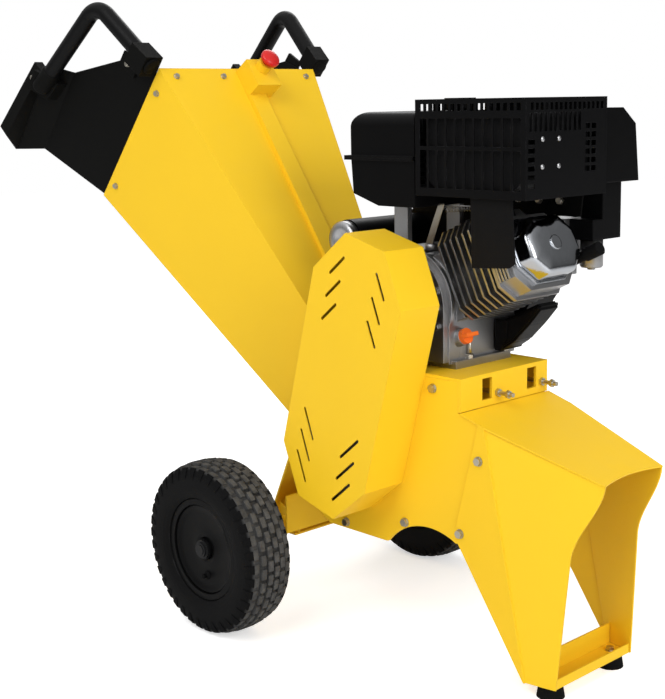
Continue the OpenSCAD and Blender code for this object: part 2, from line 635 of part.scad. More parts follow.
module tyre_body() {
  base_r = wheel_r - lug_h;
  bead = tyre_w / 2 - 13;
  steps = [for (k = [0:8]) rim_r + 9 + k * (base_r - rim_r - 9) / 8];
  rotate_extrude() polygon(concat([[rim_r + 0.2, -bead], [rim_r + 0.2, bead], [rim_r + 7.5, bead]],
    [for (r = steps) [r, tyre_half(r)]], [for (k = [8:-1:0]) [steps[k], -tyre_half(steps[k])]],
    [[rim_r + 7.5, -bead]]));
  row_w = (tyre_w - 2 * shoulder) / lug_rows;
  for (k = [0:lug_rows - 1]) let (off_middle = abs(2 * k - lug_rows + 1) / (lug_rows - 1))
    translate([0, 0, -tyre_w / 2 + shoulder + k * row_w + groove_w / 2]) linear_extrude(row_w - groove_w)
      difference() {
      circle(wheel_r - crown_drop * off_middle * off_middle);
      circle(base_r - 14);
      for (i = [0:lug_count - 1]) rotate((i + (k % 2) / 2) * 360 / lug_count)
        translate([base_r - crown_drop, -groove_w]) square([lug_h + 2 * crown_drop, 2 * groove_w]);
    }
}
module wheel_left_frame() translate([0, -wheel_y, axle_z]) rotate([90, 0, 0]) children();
module wheel_right_frame() mirror([0, 1, 0]) wheel_left_frame() children();
module tyre_left() color(black) wheel_left_frame() tyre_body();
module rim_left() color(dark) wheel_left_frame() rim_body();
module tyre_right() color(black) wheel_right_frame() tyre_body();
module rim_right() color(dark) wheel_right_frame() rim_body();

// Chute: a top plate, and on each side a rear facet along the side plate and a front facet that leans in
fold_top = [fold_x, -plate_out, chute_top_z(fold_x) + chute_t];
fold_low = [foot_rear_x, -plate_out, foot_h];
outlet_tip = [outlet_x, -outlet_half, outlet_z];
facet_down = (fold_low - fold_top) / norm(fold_low - fold_top);
facet_cross = cross(outlet_tip - fold_top, facet_down);
facet_in = facet_cross / norm(facet_cross);
facet_along = cross(facet_down, facet_in);
edge_lean = 0.075;
lip_from = 226;
lip_rise = outlet_z - foot_h - lip_from;
lip_out = outlet_x - foot_front_x - edge_lean * (outlet_z - foot_h);
function smooth(t) = t <= 0 ? 0 : t >= 1 ? 1 : t * t * (3 - 2 * t);
function front_edge_x(z) = let (h = z - foot_h)
  foot_front_x + edge_lean * h + lip_out * smooth((h - lip_from) / lip_rise);
function facet_y(x, z) = fold_top.y
  - (facet_in.x * (x - fold_top.x) + facet_in.z * (z - fold_top.z)) / facet_in.y;
function on_facet(x, z) = let (v = [x, facet_y(x, z), z] - fold_top) [v * facet_along, v * facet_down];
edge_steps = 14;
module front_facet() multmatrix([[facet_along.x, facet_down.x, facet_in.x, fold_top.x],
    [facet_along.y, facet_down.y, facet_in.y, fold_top.y], [facet_along.z, facet_down.z, facet_in.z,
      fold_top.z]])
  linear_extrude(chute_t) polygon(concat([on_facet(fold_top.x, fold_top.z)],
    [for (k = [0:edge_steps]) let (z = outlet_z - k * lip_rise / edge_steps) on_facet(front_edge_x(z), z)],
    [on_facet(foot_front_x, foot_h), on_facet(foot_rear_x, foot_h)]));
module rear_facet() xz(-plate_out - chute_t, -plate_out) difference() {
  polygon([[fold_top.x + 1, fold_top.z], [plate_tip_x - 18, chute_top_z(plate_tip_x - 18) + chute_t],
    [plate_tip_x - 70, plate_low_z + 62], [plate_tip_x - 63, plate_low_z + 36], [foot_rear_x - 2, foot_h],
    [foot_rear_x + 1, foot_h]]);
  for (p = chute_bolts_at) translate(p) circle(bolt_r + seat_fit);
}
top_len = norm([outlet_x - deck_front_x, outlet_z - flange_low_z]);
outlet_sag = 10;
outlet_arc_r = (outlet_half * outlet_half + outlet_sag * outlet_sag) / 2 / outlet_sag;
module chute_top() translate([deck_front_x, 0, flange_low_z]) rotate([0, -atan(chute_slope), 0])
  translate([0, 0, -chute_t]) linear_extrude(chute_t) difference() {
    fold_len = (fold_top.x - deck_front_x) * sqrt(1 + chute_slope * chute_slope);
    polygon([[1, -plate_out - chute_t], [fold_len, -plate_out - chute_t], [top_len, -outlet_half - 1],
      [top_len, outlet_half + 1], [fold_len, plate_out + chute_t], [1, plate_out + chute_t]]);
    translate([top_len + outlet_arc_r - outlet_sag, 0]) circle(outlet_arc_r);
  }
module discharge_chute() color(yellow) {
  chute_top();
  both_sides() { front_facet(); rear_facet(); }
}
// Foot bar: a channel between the legs with a low front lip and a taller back
bar_t = 3;
bar_back_h = 40;
bar_lip_h = 17;
// Half width between the legs' inner faces at the height of the bar's top
function bar_half(x) = plate_out - (chute_t - facet_in.x * (x - fold_top.x)
  - facet_in.z * (foot_h + bar_back_h - fold_top.z)) / facet_in.y;
bar_front_x = foot_front_x - 2;
bar_back_x = foot_rear_x + 5;
foot_x = (foot_front_x + foot_rear_x) / 2;
foot_y = plate_out - 34;
module foot_bar() color(yellow) difference() {
  intersection() {
    xz(-plate_out, plate_out) polygon([[bar_back_x, foot_h + bar_back_h], [bar_back_x, foot_h],
      [bar_front_x, foot_h],
      [bar_front_x, foot_h + bar_lip_h], [bar_front_x - bar_t, foot_h + bar_lip_h],
        [bar_front_x - bar_t, foot_h + bar_t],
      [bar_back_x + bar_t, foot_h + bar_t], [bar_back_x + bar_t, foot_h + bar_back_h]]);
    translate([0, 0, foot_h - past]) linear_extrude(bar_back_h + 2 * past)
      polygon([[bar_back_x - past, -bar_half(bar_back_x)], [bar_front_x + past, -bar_half(bar_front_x)],
        [bar_front_x + past, bar_half(bar_front_x)], [bar_back_x - past, bar_half(bar_back_x)]]);
  }
  for (s = [-1, 1]) translate([foot_x, s * foot_y, foot_h - past])
    cylinder(h = bar_t + 2 * past, r = bolt_r + seat_fit);
}
module rubber_feet() color(black) for (s = [-1, 1]) translate([foot_x, s * foot_y, 0]) difference() {
  cylinder(h = foot_h, r1 = 24, r2 = 20);
  translate([0, 0, 6]) cylinder(h = foot_h, r = bolt_r + seat_fit);
}

// Bolts through the sheets
module hopper_bolts() color(zinc) at_hopper_bolts() hex_bolt(hopper_bolt_r, hopper_t, nut = false);
module housing_bolts() color(zinc) {
  both_sides() {
    for (p = housing_bolts_at) translate([p.x, -plate_out, p.y]) rotate([90, 0, 0])
      hex_bolt(bolt_r, plate_t);
    for (p = chute_bolts_at) translate([p.x, -plate_out - chute_t, p.y]) rotate([90, 0, 0])
      hex_bolt(bolt_r, plate_t + chute_t);
  }
  for (s = [-1, 1]) translate([foot_x, s * foot_y, foot_h + bar_t])
    hex_bolt(bolt_r, bar_t + 16, nut = false);
}

// Engine frame: x towards the cylinder, y from the engine's middle, z up from the deck, crankshaft at x = 0
module engine_frame() translate([crank_x, engine_y, deck_z]) children();
cyl_tilt = 25;
module cyl_frame() engine_frame() translate([0, 0, crank_h]) rotate([0, -cyl_tilt, 0]) children();
engine_foot_t = 14;
case_r = crank_h - 16;
case_near = -82;
case_far = 98;
pad_l = case_r + 3;
case_rim = 6;
tank_low = 284;
lug_y = [case_near, 58];
lug_t = 12;
plug_dir = [cos(20), 0, sin(20)];
plug_at = [case_r + 10, -54, 56];
plug_r = 8;
module crankcase() color(alloy) difference() {
  union() {
    engine_frame() {
      translate([-case_r - 10, -75, 0]) cube([2 * case_r + 20, 150, engine_foot_t]);
      xz(case_near, case_far) {
        translate([0, crank_h]) circle(case_r);
        translate([-case_r, 8]) square([2 * case_r, crank_h - 8]);
      }
      xz(case_near, case_near + 9) translate([0, crank_h]) circle(case_r + case_rim);
      translate([-62, -70, crank_h]) cube([72, 140, case_r + 4]);
      for (y = lug_y) translate([-38, y, crank_h]) cube([32, lug_t, tank_low - crank_h]);
      rod(plug_at - plug_dir * 30, plug_at, 15);
    }
    cyl_frame() translate([40, -62, -62]) cube([pad_l - 40, 124, 124]);
  }
  engine_frame() {
    rod([0, case_near - past, crank_h], [0, case_far + past, crank_h], crank_r + run_fit);
    rod(plug_at - plug_dir * 18, plug_at + plug_dir * past, plug_r + run_fit);
  }
  at_studs() translate([0, 0, -past]) cylinder(h = engine_foot_t + 2 * past, r = bolt_r + 0.5);
  at_studs() translate([0, 0, engine_foot_t]) cylinder(h = 40, r = bolt_r * 1.85 + 3);
}
pto_y = -122;
module side_cover() color(alloy) engine_frame() difference() {
  union() {
    xz(case_near - 12, case_near) {
      translate([0, crank_h]) circle(case_r - 2);
      translate([-case_r + 2, 12]) square([2 * case_r - 4, crank_h - 12]);
    }
    xz(pto_y, case_near - 11) translate([0, crank_h]) circle(40);
    for (k = [0:7]) translate([0, 0, crank_h]) rotate([0, k * 45, 0]) {
      translate([36, case_near - 26, -3]) cube([case_r - 48, 16, 6]);
      rotate([90, 22.5, 0]) translate([case_r - 10, 0, -case_near + 11]) cylinder(h = 8, r = 7, $fn = 6);
    }
  }
  rod([0, pto_y - past, crank_h], [0, case_near + past, crank_h], crank_r + run_fit);
}
module crankshaft() color("silver") engine_frame()
  rod([0, shaft_front_y - engine_y, crank_h], [0, flywheel_y + flywheel_w + 2, crank_h], crank_r);
module clutch_pulley() color("dimgray") translate([crank_x, 0, crank_z])
  grooved_pulley(clutch_pulley_r, crank_r + seat_fit / 2, clutch_pulley_r - 15);
// Cylinder, head and valve cover along the inclined axis
head_l = 206;
head_h = 38;
rocker_l = head_l + head_h;
head_w = [160, 132];
head_cut = 28;
head_lip = 6;
fin_count = 7;
fin_t = 4;
fin_w = [156, 164];
fin_lift = 12;
rib_count = 4;
rocker_w = [146, 116];
rocker_steps = [[0, 6], [7, 24], [15, 8]];
module fin_plate(w, cut) let (x = w.x / 2, y = w.y / 2)
  polygon([[-x + cut, -y], [x - cut, -y], [x, -y + cut], [x, y - cut], [x - cut, y], [-x + cut, y],
    [-x, y - cut],
    [-x, -y + cut]]);
module along_cylinder(l, t) cyl_frame() translate([l, 0, 0]) rotate([90, 0, 90]) linear_extrude(t)
  children();
module cylinder_barrel() color(alloy) {
  along_cylinder(pad_l, head_l - pad_l) circle(56);
  for (k = [0:fin_count - 1]) along_cylinder(pad_l + 6 + k * (head_l - pad_l - 6) / fin_count, fin_t)
    translate([0, fin_lift]) fin_plate(fin_w, 24);
}
module cylinder_head() color(alloy) {
  along_cylinder(head_l, head_h) fin_plate(head_w, head_cut);
  along_cylinder(head_l, head_h / 6) fin_plate(head_w + 2 * [head_lip, head_lip], head_cut);
  for (k = [0:rib_count - 1]) along_cylinder(head_l + (k + 1) * head_h / (rib_count + 1.5), head_h / 9)
    translate([-head_w.x / 2 - 6, -head_w.y / 2 + head_cut]) square([12, 40]);
}
// Valve cover: three steps of [inset, height] and a filler boss
module valve_cover() color("gainsboro") {
  for (k = [0:2]) let (inset = rocker_steps[k][0], from = k == 0 ? 0 : k == 1 ? rocker_steps[0][1]
      : rocker_steps[0][1] + rocker_steps[1][1])
    along_cylinder(rocker_l + from, rocker_steps[k][1])
      fin_plate(rocker_w - 2 * [inset, inset], 34 - inset / 2);
  along_cylinder(rocker_l + 37, 6) circle(13);
}
plug_boot_r = 12;
boot_at = [head_w.x / 2 + plug_boot_r - 2, -26];
module spark_plug() color(black) cyl_frame() {
  rod([head_l + head_h / 6, boot_at.x, boot_at.y], [rocker_l + 34, boot_at.x, boot_at.y], plug_boot_r - 3);
  rod([rocker_l + 26, boot_at.x, boot_at.y], [rocker_l + 58, boot_at.x, boot_at.y], plug_boot_r);
}

// Muffler in its guard, with the exhaust pipe and a heat shield that hangs over the port
guard_x = [54, 292];
guard_y = [-124, 93];
guard_z = [306, 468];
guard_t = 2;
muffler_x = [70, 276];
muffler_y = [-112, 62];
muffler_z = [318, 446];
shield_x = 166;
shield_w = 88;
shield_h = 144;
port_l = head_l + head_h / 6 + 0.3;
port_w = [rocker_l - 2 - port_l, 56, 12];
port_y = -50;
port_z = head_w.y / 2 + 0.3;
module muffler() color(dark) {
  engine_frame() {
    xz(muffler_y[0], muffler_y[1])
      translate([(muffler_x[0] + muffler_x[1]) / 2, (muffler_z[0] + muffler_z[1]) / 2])
      rounded_rect(muffler_x[1] - muffler_x[0], muffler_z[1] - muffler_z[0], 30);
    xz(muffler_y[0], muffler_y[0] + 2) translate([shield_x, muffler_z[0] + 14])
      polygon([[0, 0], [shield_w, 0], [shield_w + 8, -shield_h + 14], [shield_w - 4, -shield_h + 6],
        [4, -shield_h]]);
  }
  cyl_frame() {
    translate([port_l, port_y - port_w.y / 2, port_z]) cube(port_w);
    rod([port_l + port_w.x / 2, port_y, port_z + 2], [port_l + port_w.x / 2, port_y, 150], 13);
  }
}
guard_size = [guard_x[1] - guard_x[0], guard_y[1] - guard_y[0], guard_z[1] - guard_z[0]];
module slot_row(from, to, count, low, high, share = 0.7) for (k = [0:count - 1])
  let (pitch = (to - from) / count)
  translate([from + (k + (1 - share) / 2) * pitch, low]) square([pitch * share, high - low]);
module guard_front() difference() {
  square([guard_size.x, guard_size.z]);
  slot_row(8, guard_size.x - 8, 11, 14, 78, 0.78);
  slot_row(8, guard_size.x - 8, 11, 84, 130, 0.78);
  slot_row(8, guard_size.x - 8, 16, 142, 154, 0.62);
}
module guard_end() difference() {
  square([guard_size.y, guard_size.z]);
  slot_row(10, guard_size.y - 8, 16, 142, 154, 0.62);
  slot_row(6, guard_size.y - 70, 11, 108, 138, 0.6);
  for (k = [0:5]) translate([6, 18 + k * 14]) square([18, 8]);
  for (y = [43, 86], z = [52, 96]) translate([y, z]) circle(4);
  for (k = [0:5], s = [0, 1]) translate([guard_size.y - 60 + s * 17, 40 + k * 14]) square([13, 9]);
}
module guard_top() difference() {
  square([guard_size.x, guard_size.y]);
  for (k = [0:4]) translate([0, 16 + k * 40]) slot_row(16, guard_size.x - 16, 10, 0, 26, 0.62);
}
module muffler_guard() color(black) engine_frame() translate([guard_x[0], guard_y[0], guard_z[0]]) {
  xz(0, guard_t) guard_front();
  xz(guard_size.y - guard_t, guard_size.y) square([guard_size.x, guard_size.z]);
  translate([guard_size.x - guard_t, 0, 0]) rotate([90, 0, 90]) linear_extrude(guard_t) guard_end();
  rotate([90, 0, 90]) linear_extrude(guard_t) guard_end();
  translate([0, 0, guard_size.z - guard_t]) linear_extrude(guard_t) guard_top();
  for (x = [60, 180]) translate([x, -guard_y[0], muffler_z[1] - guard_z[0]])
    cylinder(h = guard_z[1] - muffler_z[1] - 1, r = 8);
}

// Air cleaner, elbow and carburettor on the far side of the head
cleaner_x = 160;
cleaner_len = 124;
cleaner_low = 322;
cleaner_top = 449;
cleaner_y = [98, 202];
elbow_low = 222;
carb_x = [168, 212];
carb_y = [head_w.x / 2 + head_lip + 0.3, 140];
carb_z = [190, 258];
bowl_r = 19;
bowl_h = 32;
module air_cleaner() color(black) engine_frame() yz(cleaner_x, cleaner_x + cleaner_len)
  polygon([[cleaner_y[0], cleaner_top], [cleaner_y[1] - 50, cleaner_top],
    [cleaner_y[1] - 12, cleaner_top - 28],
    [cleaner_y[1], cleaner_low], [cleaner_y[0] + 6, cleaner_low]]);
module intake_elbow() color(dark) engine_frame() {
  translate([carb_x[1] + 4, 128, elbow_low]) cube([46, 54, cleaner_low - elbow_low]);
  translate([carb_x[1], 100, elbow_low]) cube([50, 54, 36]);
  translate([carb_x[1] + 12, 182, elbow_low + 8]) cube([30, 10, 22]);
}
choke_at = [196, 240];
tap_at = [178, 205];
lever_pin_r = 3;
module carburettor() color(alloy) engine_frame() {
  translate([carb_x[0], carb_y[0], carb_z[0]])
    cube([carb_x[1] - carb_x[0], carb_y[1] - carb_y[0], carb_z[1] - carb_z[0]]);
  translate([(carb_x[0] + carb_x[1]) / 2, carb_y[1] - bowl_r, carb_z[0] - bowl_h])
    cylinder(h = bowl_h + past, r = bowl_r);
  for (p = [choke_at, tap_at]) rod([p.x, carb_y[1] - past, p.y], [p.x, carb_y[1] + 6, p.y], lever_pin_r);
}
module lever(at, y, arm, w, t, pin_r, knob_r, angle) engine_frame() difference() {
  union() {
    xz(y, y + t) translate(at) rotate(angle) {
      circle(w);
      translate([0, -w / 2]) square([arm, w]);
      translate([arm, 0]) circle(w * 0.75);
    }
    translate([at.x, y, at.y]) rotate([0, -angle, 0]) rod([arm, t - past, 0], [arm, t + 8, 0], knob_r);
  }
  rod([at.x, y - past, at.y], [at.x, y + t + past, at.y], pin_r + run_fit);
}
module choke_lever() color("dimgray") lever(choke_at, carb_y[1] + 0.3, 26, 7, 4, lever_pin_r, 3.5, 100);
module fuel_tap() color("firebrick") lever(tap_at, carb_y[1] + 0.3, 20, 7, 4, lever_pin_r, 3.5, 180);

// Fuel tank halves with a joint flange
tank_x = [-108, 48];
tank_y = [-120, 146];
tank_joint = 368;
tank_top = 448;
flange_out = 12;
module tank_flange(z) translate([tank_x[0] - flange_out, tank_y[0] - 6, z])
  cube([tank_x[1] - tank_x[0] + flange_out, tank_y[1] - tank_y[0] + 12, 4]);
tank_mid_y = (tank_y[0] + tank_y[1]) / 2;
cap_at = [-20, 76];
cap_neck_r = 22;
module tank_upper() color(black) engine_frame() {
  intersection() {
    xz(tank_y[0], tank_y[1]) translate([(tank_x[0] + tank_x[1]) / 2, tank_joint])
      intersection() {
        rounded_rect(tank_x[1] - tank_x[0], 2 * (tank_top - tank_joint), 26);
        translate([-200, 0]) square([400, 200]);
      }
    translate([tank_x[0] - past, tank_mid_y, tank_joint]) rotate([90, 0, 90])
      linear_extrude(tank_x[1] - tank_x[0] + 2 * past)
        rounded_rect(tank_y[1] - tank_y[0], 2 * (tank_top - tank_joint), 26);
  }
  tank_flange(tank_joint);
  translate([cap_at.x, cap_at.y, tank_top - past]) cylinder(h = 9, r = cap_neck_r);
}
module tank_lower() color(black) engine_frame() {
  xz(tank_y[0], tank_y[1]) polygon([[tank_x[0], tank_joint], [tank_x[0] + 5, tank_low + 20],
    [tank_x[0] + 68, tank_low],
    [tank_x[1], tank_low], [tank_x[1], tank_joint]]);
  tank_flange(tank_joint - 4);
}
module fuel_cap() color(dark) engine_frame() translate([cap_at.x, cap_at.y, tank_top + 0.3]) difference() {
  union() {
    cylinder(h = 22, r = 29);
    for (k = [0:11]) rotate(k * 30) translate([27, -4, 2]) cube([5, 8, 16]);
  }
  translate([0, 0, -past]) cylinder(h = past + 8.3, r = cap_neck_r + run_fit);
}

// Fan housing round the flywheel, recoil starter on its far face, starter motor on its near face
fan_y = [case_far, case_far + 72];
flywheel_y = 108;
flywheel_w = 40;
flywheel_r = crank_h - 16;
fan_low = 5;
fan_top = 262;
fan_front = 140;
fan_back = -190;
shroud_w = 60;
starter_at = [-148, 216];
starter_r = 36;
throttle_at = [112, 206];
switch_at = [-140, 205];
module fan_housing() color(black) engine_frame() {
  difference() {
    xz(fan_y[0], fan_y[1]) polygon([[-case_r, fan_low], [40, fan_low], [86, 40], [fan_front, 118],
      [fan_front, fan_top - 64], [74, fan_top], [fan_back + 4, fan_top - 6], [fan_back, 176],
        [fan_back + 50, 140],
      [fan_back + 62, 60]]);
    rod([0, fan_y[0] + 4, crank_h], [0, fan_y[1] + past, crank_h], flywheel_r + 6);
    rod([0, fan_y[0] - past, crank_h], [0, fan_y[1], crank_h], crank_r + 6);
  }
  xz(fan_y[0] - shroud_w, fan_y[0] + past)
    polygon([[case_r + 4, 18], [case_r + 16, 18], [case_r + 30, 44], [case_r + 32, 76], [case_r + 4, 76]]);
  rod([throttle_at.x, fan_y[1] - past, throttle_at.y], [throttle_at.x, fan_y[1] + 6, throttle_at.y], 4);
}
module flywheel() color("gray") engine_frame() difference() {
  union() {
    rod([0, flywheel_y, crank_h], [0, flywheel_y + 14, crank_h], flywheel_r);
    rod([0, flywheel_y + 13, crank_h], [0, flywheel_y + flywheel_w, crank_h], 34);
    for (k = [0:11]) translate([0, 0, crank_h]) rotate([0, k * 30, 0]) translate([32, flywheel_y + 13, -2])
      cube([flywheel_r - 36, 22, 4]);
  }
  rod([0, flywheel_y - past, crank_h], [0, flywheel_y + flywheel_w + past, crank_h],
    crank_r + seat_fit / 2);
}
recoil_r = crank_h - 4;
recoil_y = fan_y[1] + 30;
grip_dir = [-sin(30), 0, cos(30)];
grip_y = fan_y[1] + 26;
module recoil_cover() color(black) engine_frame() difference() {
  union() {
    rod([0, fan_y[1], crank_h], [0, recoil_y, crank_h], recoil_r);
    rod([0, recoil_y - past, crank_h], [0, recoil_y + 12, crank_h], recoil_r - 26);
    rod([0, grip_y, crank_h] + grip_dir * (recoil_r - 20),
      [0, grip_y, crank_h] + grip_dir * (recoil_r + 12), 11);
  }
  rod([0, fan_y[1] - past, crank_h], [0, recoil_y - 4, crank_h], flywheel_r + 2);
  for (k = [0:15]) translate([0, 0, crank_h]) rotate([0, k * 22.5, 0]) translate([46, recoil_y - 10, -3])
    cube([26, 30, 6]);
}
module recoil_grip() color(black) engine_frame() {
  grip_at = [0, grip_y, crank_h] + grip_dir * (recoil_r + 12.3 + 8);
  rod(grip_at - [0, 24, 0], grip_at + [0, 24, 0], 8);
  rod(grip_at - grip_dir * 8, grip_at + grip_dir * 10, 10);
}
module starter_motor() color(dark) engine_frame() {
  rod([starter_at.x, -92, starter_at.y], [starter_at.x, fan_y[0], starter_at.y], starter_r);
  rod([starter_at.x, -108, starter_at.y], [starter_at.x, -91, starter_at.y], starter_r - 5);
}
module throttle_lever() color("dimgray") lever(throttle_at, fan_y[1] + 0.3, 46, 9, 4, 4, 6, 70);
module engine_switch() color("red") engine_frame() {
  rod([switch_at.x, fan_y[1] + 0.3, switch_at.y], [switch_at.x, fan_y[1] + 12, switch_at.y], 11);
  translate([switch_at.x - 3, fan_y[1] + 11, switch_at.y - 9]) cube([6, 14, 18]);
}
module oil_plug() color("orangered") engine_frame() {
  rod(plug_at - plug_dir * 14, plug_at + plug_dir * 2, plug_r);
  rod(plug_at + plug_dir * 0.3, plug_at + plug_dir * 9, 14);
  translate(plug_at) rotate([0, -20, 0]) translate([8, -15, -3.5]) cube([14, 30, 7]);
}

hopper();
inlet_tray();
handle_left();
handle_right();
handle_sockets();
stop_switch_box();
cable_channel();
side_plate_left();
side_plate_right();
chamber_floor();
anvil();
engine_deck();
belt_cover();
drive_belts();
rotor_bearings();
axle_bracket();
axle();
wheel_retainers();
discharge_chute();
foot_bar();
rubber_feet();
hopper_bolts();
housing_bolts();
tension_bolts();
engine_studs();
crankcase();
side_cover();
cylinder_barrel();
cylinder_head();
valve_cover();
muffler();
muffler_guard();
air_cleaner();
intake_elbow();
carburettor();
tank_upper();
tank_lower();
fan_housing();
recoil_cover();
starter_motor();
spark_plug();
tyre_left();
rim_left();
tyre_right();
rim_right();
rotor_drum();
rotor_knives();
rotor_shaft();
rotor_pulley();
crankshaft();
clutch_pulley();
flywheel();
stop_button();
throttle_lever();
choke_lever();
fuel_tap();
fuel_cap();
oil_plug();
recoil_grip();
engine_switch();
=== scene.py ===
"""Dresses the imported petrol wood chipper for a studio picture.

Every solid of the frame keeps its mesh and takes a procedural finish. Small fasteners, covers and trim that
the frame lacks are added and ride on its bodies. Sizes are metres in the frame's own axes: +Z up, +X towards
the chute, -Y the belt side.
"""

from __future__ import annotations

import logging  # noqa: E402
import math  # noqa: E402
from dataclasses import dataclass, field  # noqa: E402
from enum import Enum  # noqa: E402

import bmesh  # noqa: E402
import bpy  # noqa: E402
from mathutils import Matrix, Vector  # noqa: E402


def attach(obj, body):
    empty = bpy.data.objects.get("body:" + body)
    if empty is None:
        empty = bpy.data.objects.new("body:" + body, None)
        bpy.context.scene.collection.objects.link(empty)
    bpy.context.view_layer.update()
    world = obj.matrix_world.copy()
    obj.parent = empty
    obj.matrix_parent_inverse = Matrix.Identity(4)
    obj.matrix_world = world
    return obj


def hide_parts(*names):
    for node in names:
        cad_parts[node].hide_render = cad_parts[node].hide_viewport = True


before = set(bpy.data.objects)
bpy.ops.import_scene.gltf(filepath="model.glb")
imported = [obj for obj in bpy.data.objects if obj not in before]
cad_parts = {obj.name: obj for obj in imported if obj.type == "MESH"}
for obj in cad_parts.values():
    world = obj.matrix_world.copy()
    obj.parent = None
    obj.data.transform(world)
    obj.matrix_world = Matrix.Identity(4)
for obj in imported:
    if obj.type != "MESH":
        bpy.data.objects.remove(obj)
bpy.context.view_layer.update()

LOG = logging.getLogger("chipper")

Color = tuple[float, float, float]
Point = tuple[float, float, float]
Pair = tuple[float, float]

# Directions in the frame's axes
UP: Point = (0.0, 0.0, 1.0)
TO_CHUTE: Point = (1.0, 0.0, 0.0)
TO_BELTS: Point = (0.0, -1.0, 0.0)

# Values and socket types of the shaders
WHITE = (1.0, 1.0, 1.0, 1.0)
GREY = (0.5, 0.5, 0.5, 1.0)
NOISE_MEAN = 0.5
BROAD_GAIN = 2.0
BEVEL_SAMPLES = 4
BUMP_STRENGTH = 0.6
COLOR, VALUE = "NodeSocketColor", "NodeSocketFloat"

# Places of a Mix node's factor and two colours among its inputs, and of the mixed colour among its outputs
MIX_INPUTS = (0, 6, 7)
MIX_RESULT = 2


def sideways(side: int) -> Point:
    """Gives the direction of one side: -1 for the belt side, 1 for the far side."""
    return (0.0, float(side), 0.0)


class Group(Enum):
    """Shader node groups that the finishes place in their materials."""

    GRAIN = "surface_grain"
    WEAR_AND_HIGHLIGHT = "edge_wear_and_highlight"
    DUST = "dust_film"
    BRUSH = "brushed_lines"
    TREAD_DUST_AND_SHEEN = "tread_dust_and_sheen"


class Axis(Enum):
    """Direction that machining lines run along, as stretch factors of the texture space."""

    NONE = (1.0, 1.0, 1.0)
    ALONG_Y = (1.0, 0.04, 1.0)


@dataclass
class Nodes:
    """Small helper that adds and links shader nodes in one tree.

    Args:
        tree: the node tree that the nodes go into.
    """

    tree: bpy.types.NodeTree

    def link(self, source: bpy.types.NodeSocket, target: bpy.types.NodeSocket) -> None:
        """Links an output socket to an input socket."""
        self.tree.links.new(source, target)

    def feed(self, target: bpy.types.NodeSocket, value: object) -> None:
        """Links an input socket, or sets it to a plain value.

        Args:
            target: input socket.
            value: output socket or plain value.
        """
        if isinstance(value, bpy.types.NodeSocket):
            self.link(value, target)
        else:
            target.default_value = value

    def add(self, kind: str, **values: object) -> bpy.types.Node:
        """Adds a node and sets its properties or inputs by name.

        Args:
            kind: Blender's node type name.
            values: node properties, or values and sockets by input name with underscores for spaces.

        Returns:
            The new node.
        """
        node = self.tree.nodes.new(kind)
        for key, value in values.items():
            if hasattr(node, key):
                setattr(node, key, value)
            else:
                self.feed(node.inputs[key.replace("_", " ")], value)
        return node

    def place(self) -> bpy.types.NodeSocket:
        """Gives a surface point's place in its object's axes."""
        return self.add("ShaderNodeTexCoord").outputs["Object"]

    def noise(self, vector: bpy.types.NodeSocket, **values: object) -> bpy.types.NodeSocket:
        """Adds a noise texture.

        Args:
            vector: socket of the place at which it is read.
            values: values or sockets by input name.

        Returns:
            The noise's value.
        """
        return self.add("ShaderNodeTexNoise", Vector=vector, **values).outputs[0]

    def swing(self, noise: bpy.types.NodeSocket, amount: object) -> bpy.types.NodeSocket:
        """Scales a noise's swing about its mean.

        Args:
            noise: the noise's value.
            amount: factor, as a value or socket.

        Returns:
            The swing, which is negative below the mean.
        """
        return self.math("MULTIPLY", self.math("SUBTRACT", noise, NOISE_MEAN), amount)

    def math(self, operation: str, a: object, b: object = 0.0) -> bpy.types.NodeSocket:
        """Adds a math node on two values or sockets.

        Args:
            operation: name of the math operation.
            a: first value or output socket.
            b: second value or output socket.

        Returns:
            The node's output socket.
        """
        node = self.add("ShaderNodeMath", operation=operation)
        for target, value in zip(node.inputs, (a, b)):
            self.feed(target, value)
        return node.outputs[0]

    def mix(self, share: object, a: object, b: object) -> bpy.types.NodeSocket:
        """Mixes two colours.

        Args:
            share: how much of the second colour shows.
            a: first colour or socket.
            b: second colour or socket.

        Returns:
            The mixed colour's socket.
        """
        node = self.add("ShaderNodeMix", data_type="RGBA")
        for index, value in zip(MIX_INPUTS, (share, a, b)):
            self.feed(node.inputs[index], value)
        return node.outputs[MIX_RESULT]

    def span(self, value: bpy.types.NodeSocket, low: object, high: object, to_low: float = 0.0,
             to_high: float = 1.0) -> bpy.types.NodeSocket:
        """Maps a value from one range to another, clamped.

        Args:
            value: socket to map.
            low: value or socket that gives to_low.
            high: value or socket that gives to_high.
            to_low: result at low.
            to_high: result at high.

        Returns:
            The mapped value's socket.
        """
        node = self.add("ShaderNodeMapRange", Value=value, From_Min=low, From_Max=high, To_Min=to_low,
                        To_Max=to_high)
        return node.outputs["Result"]


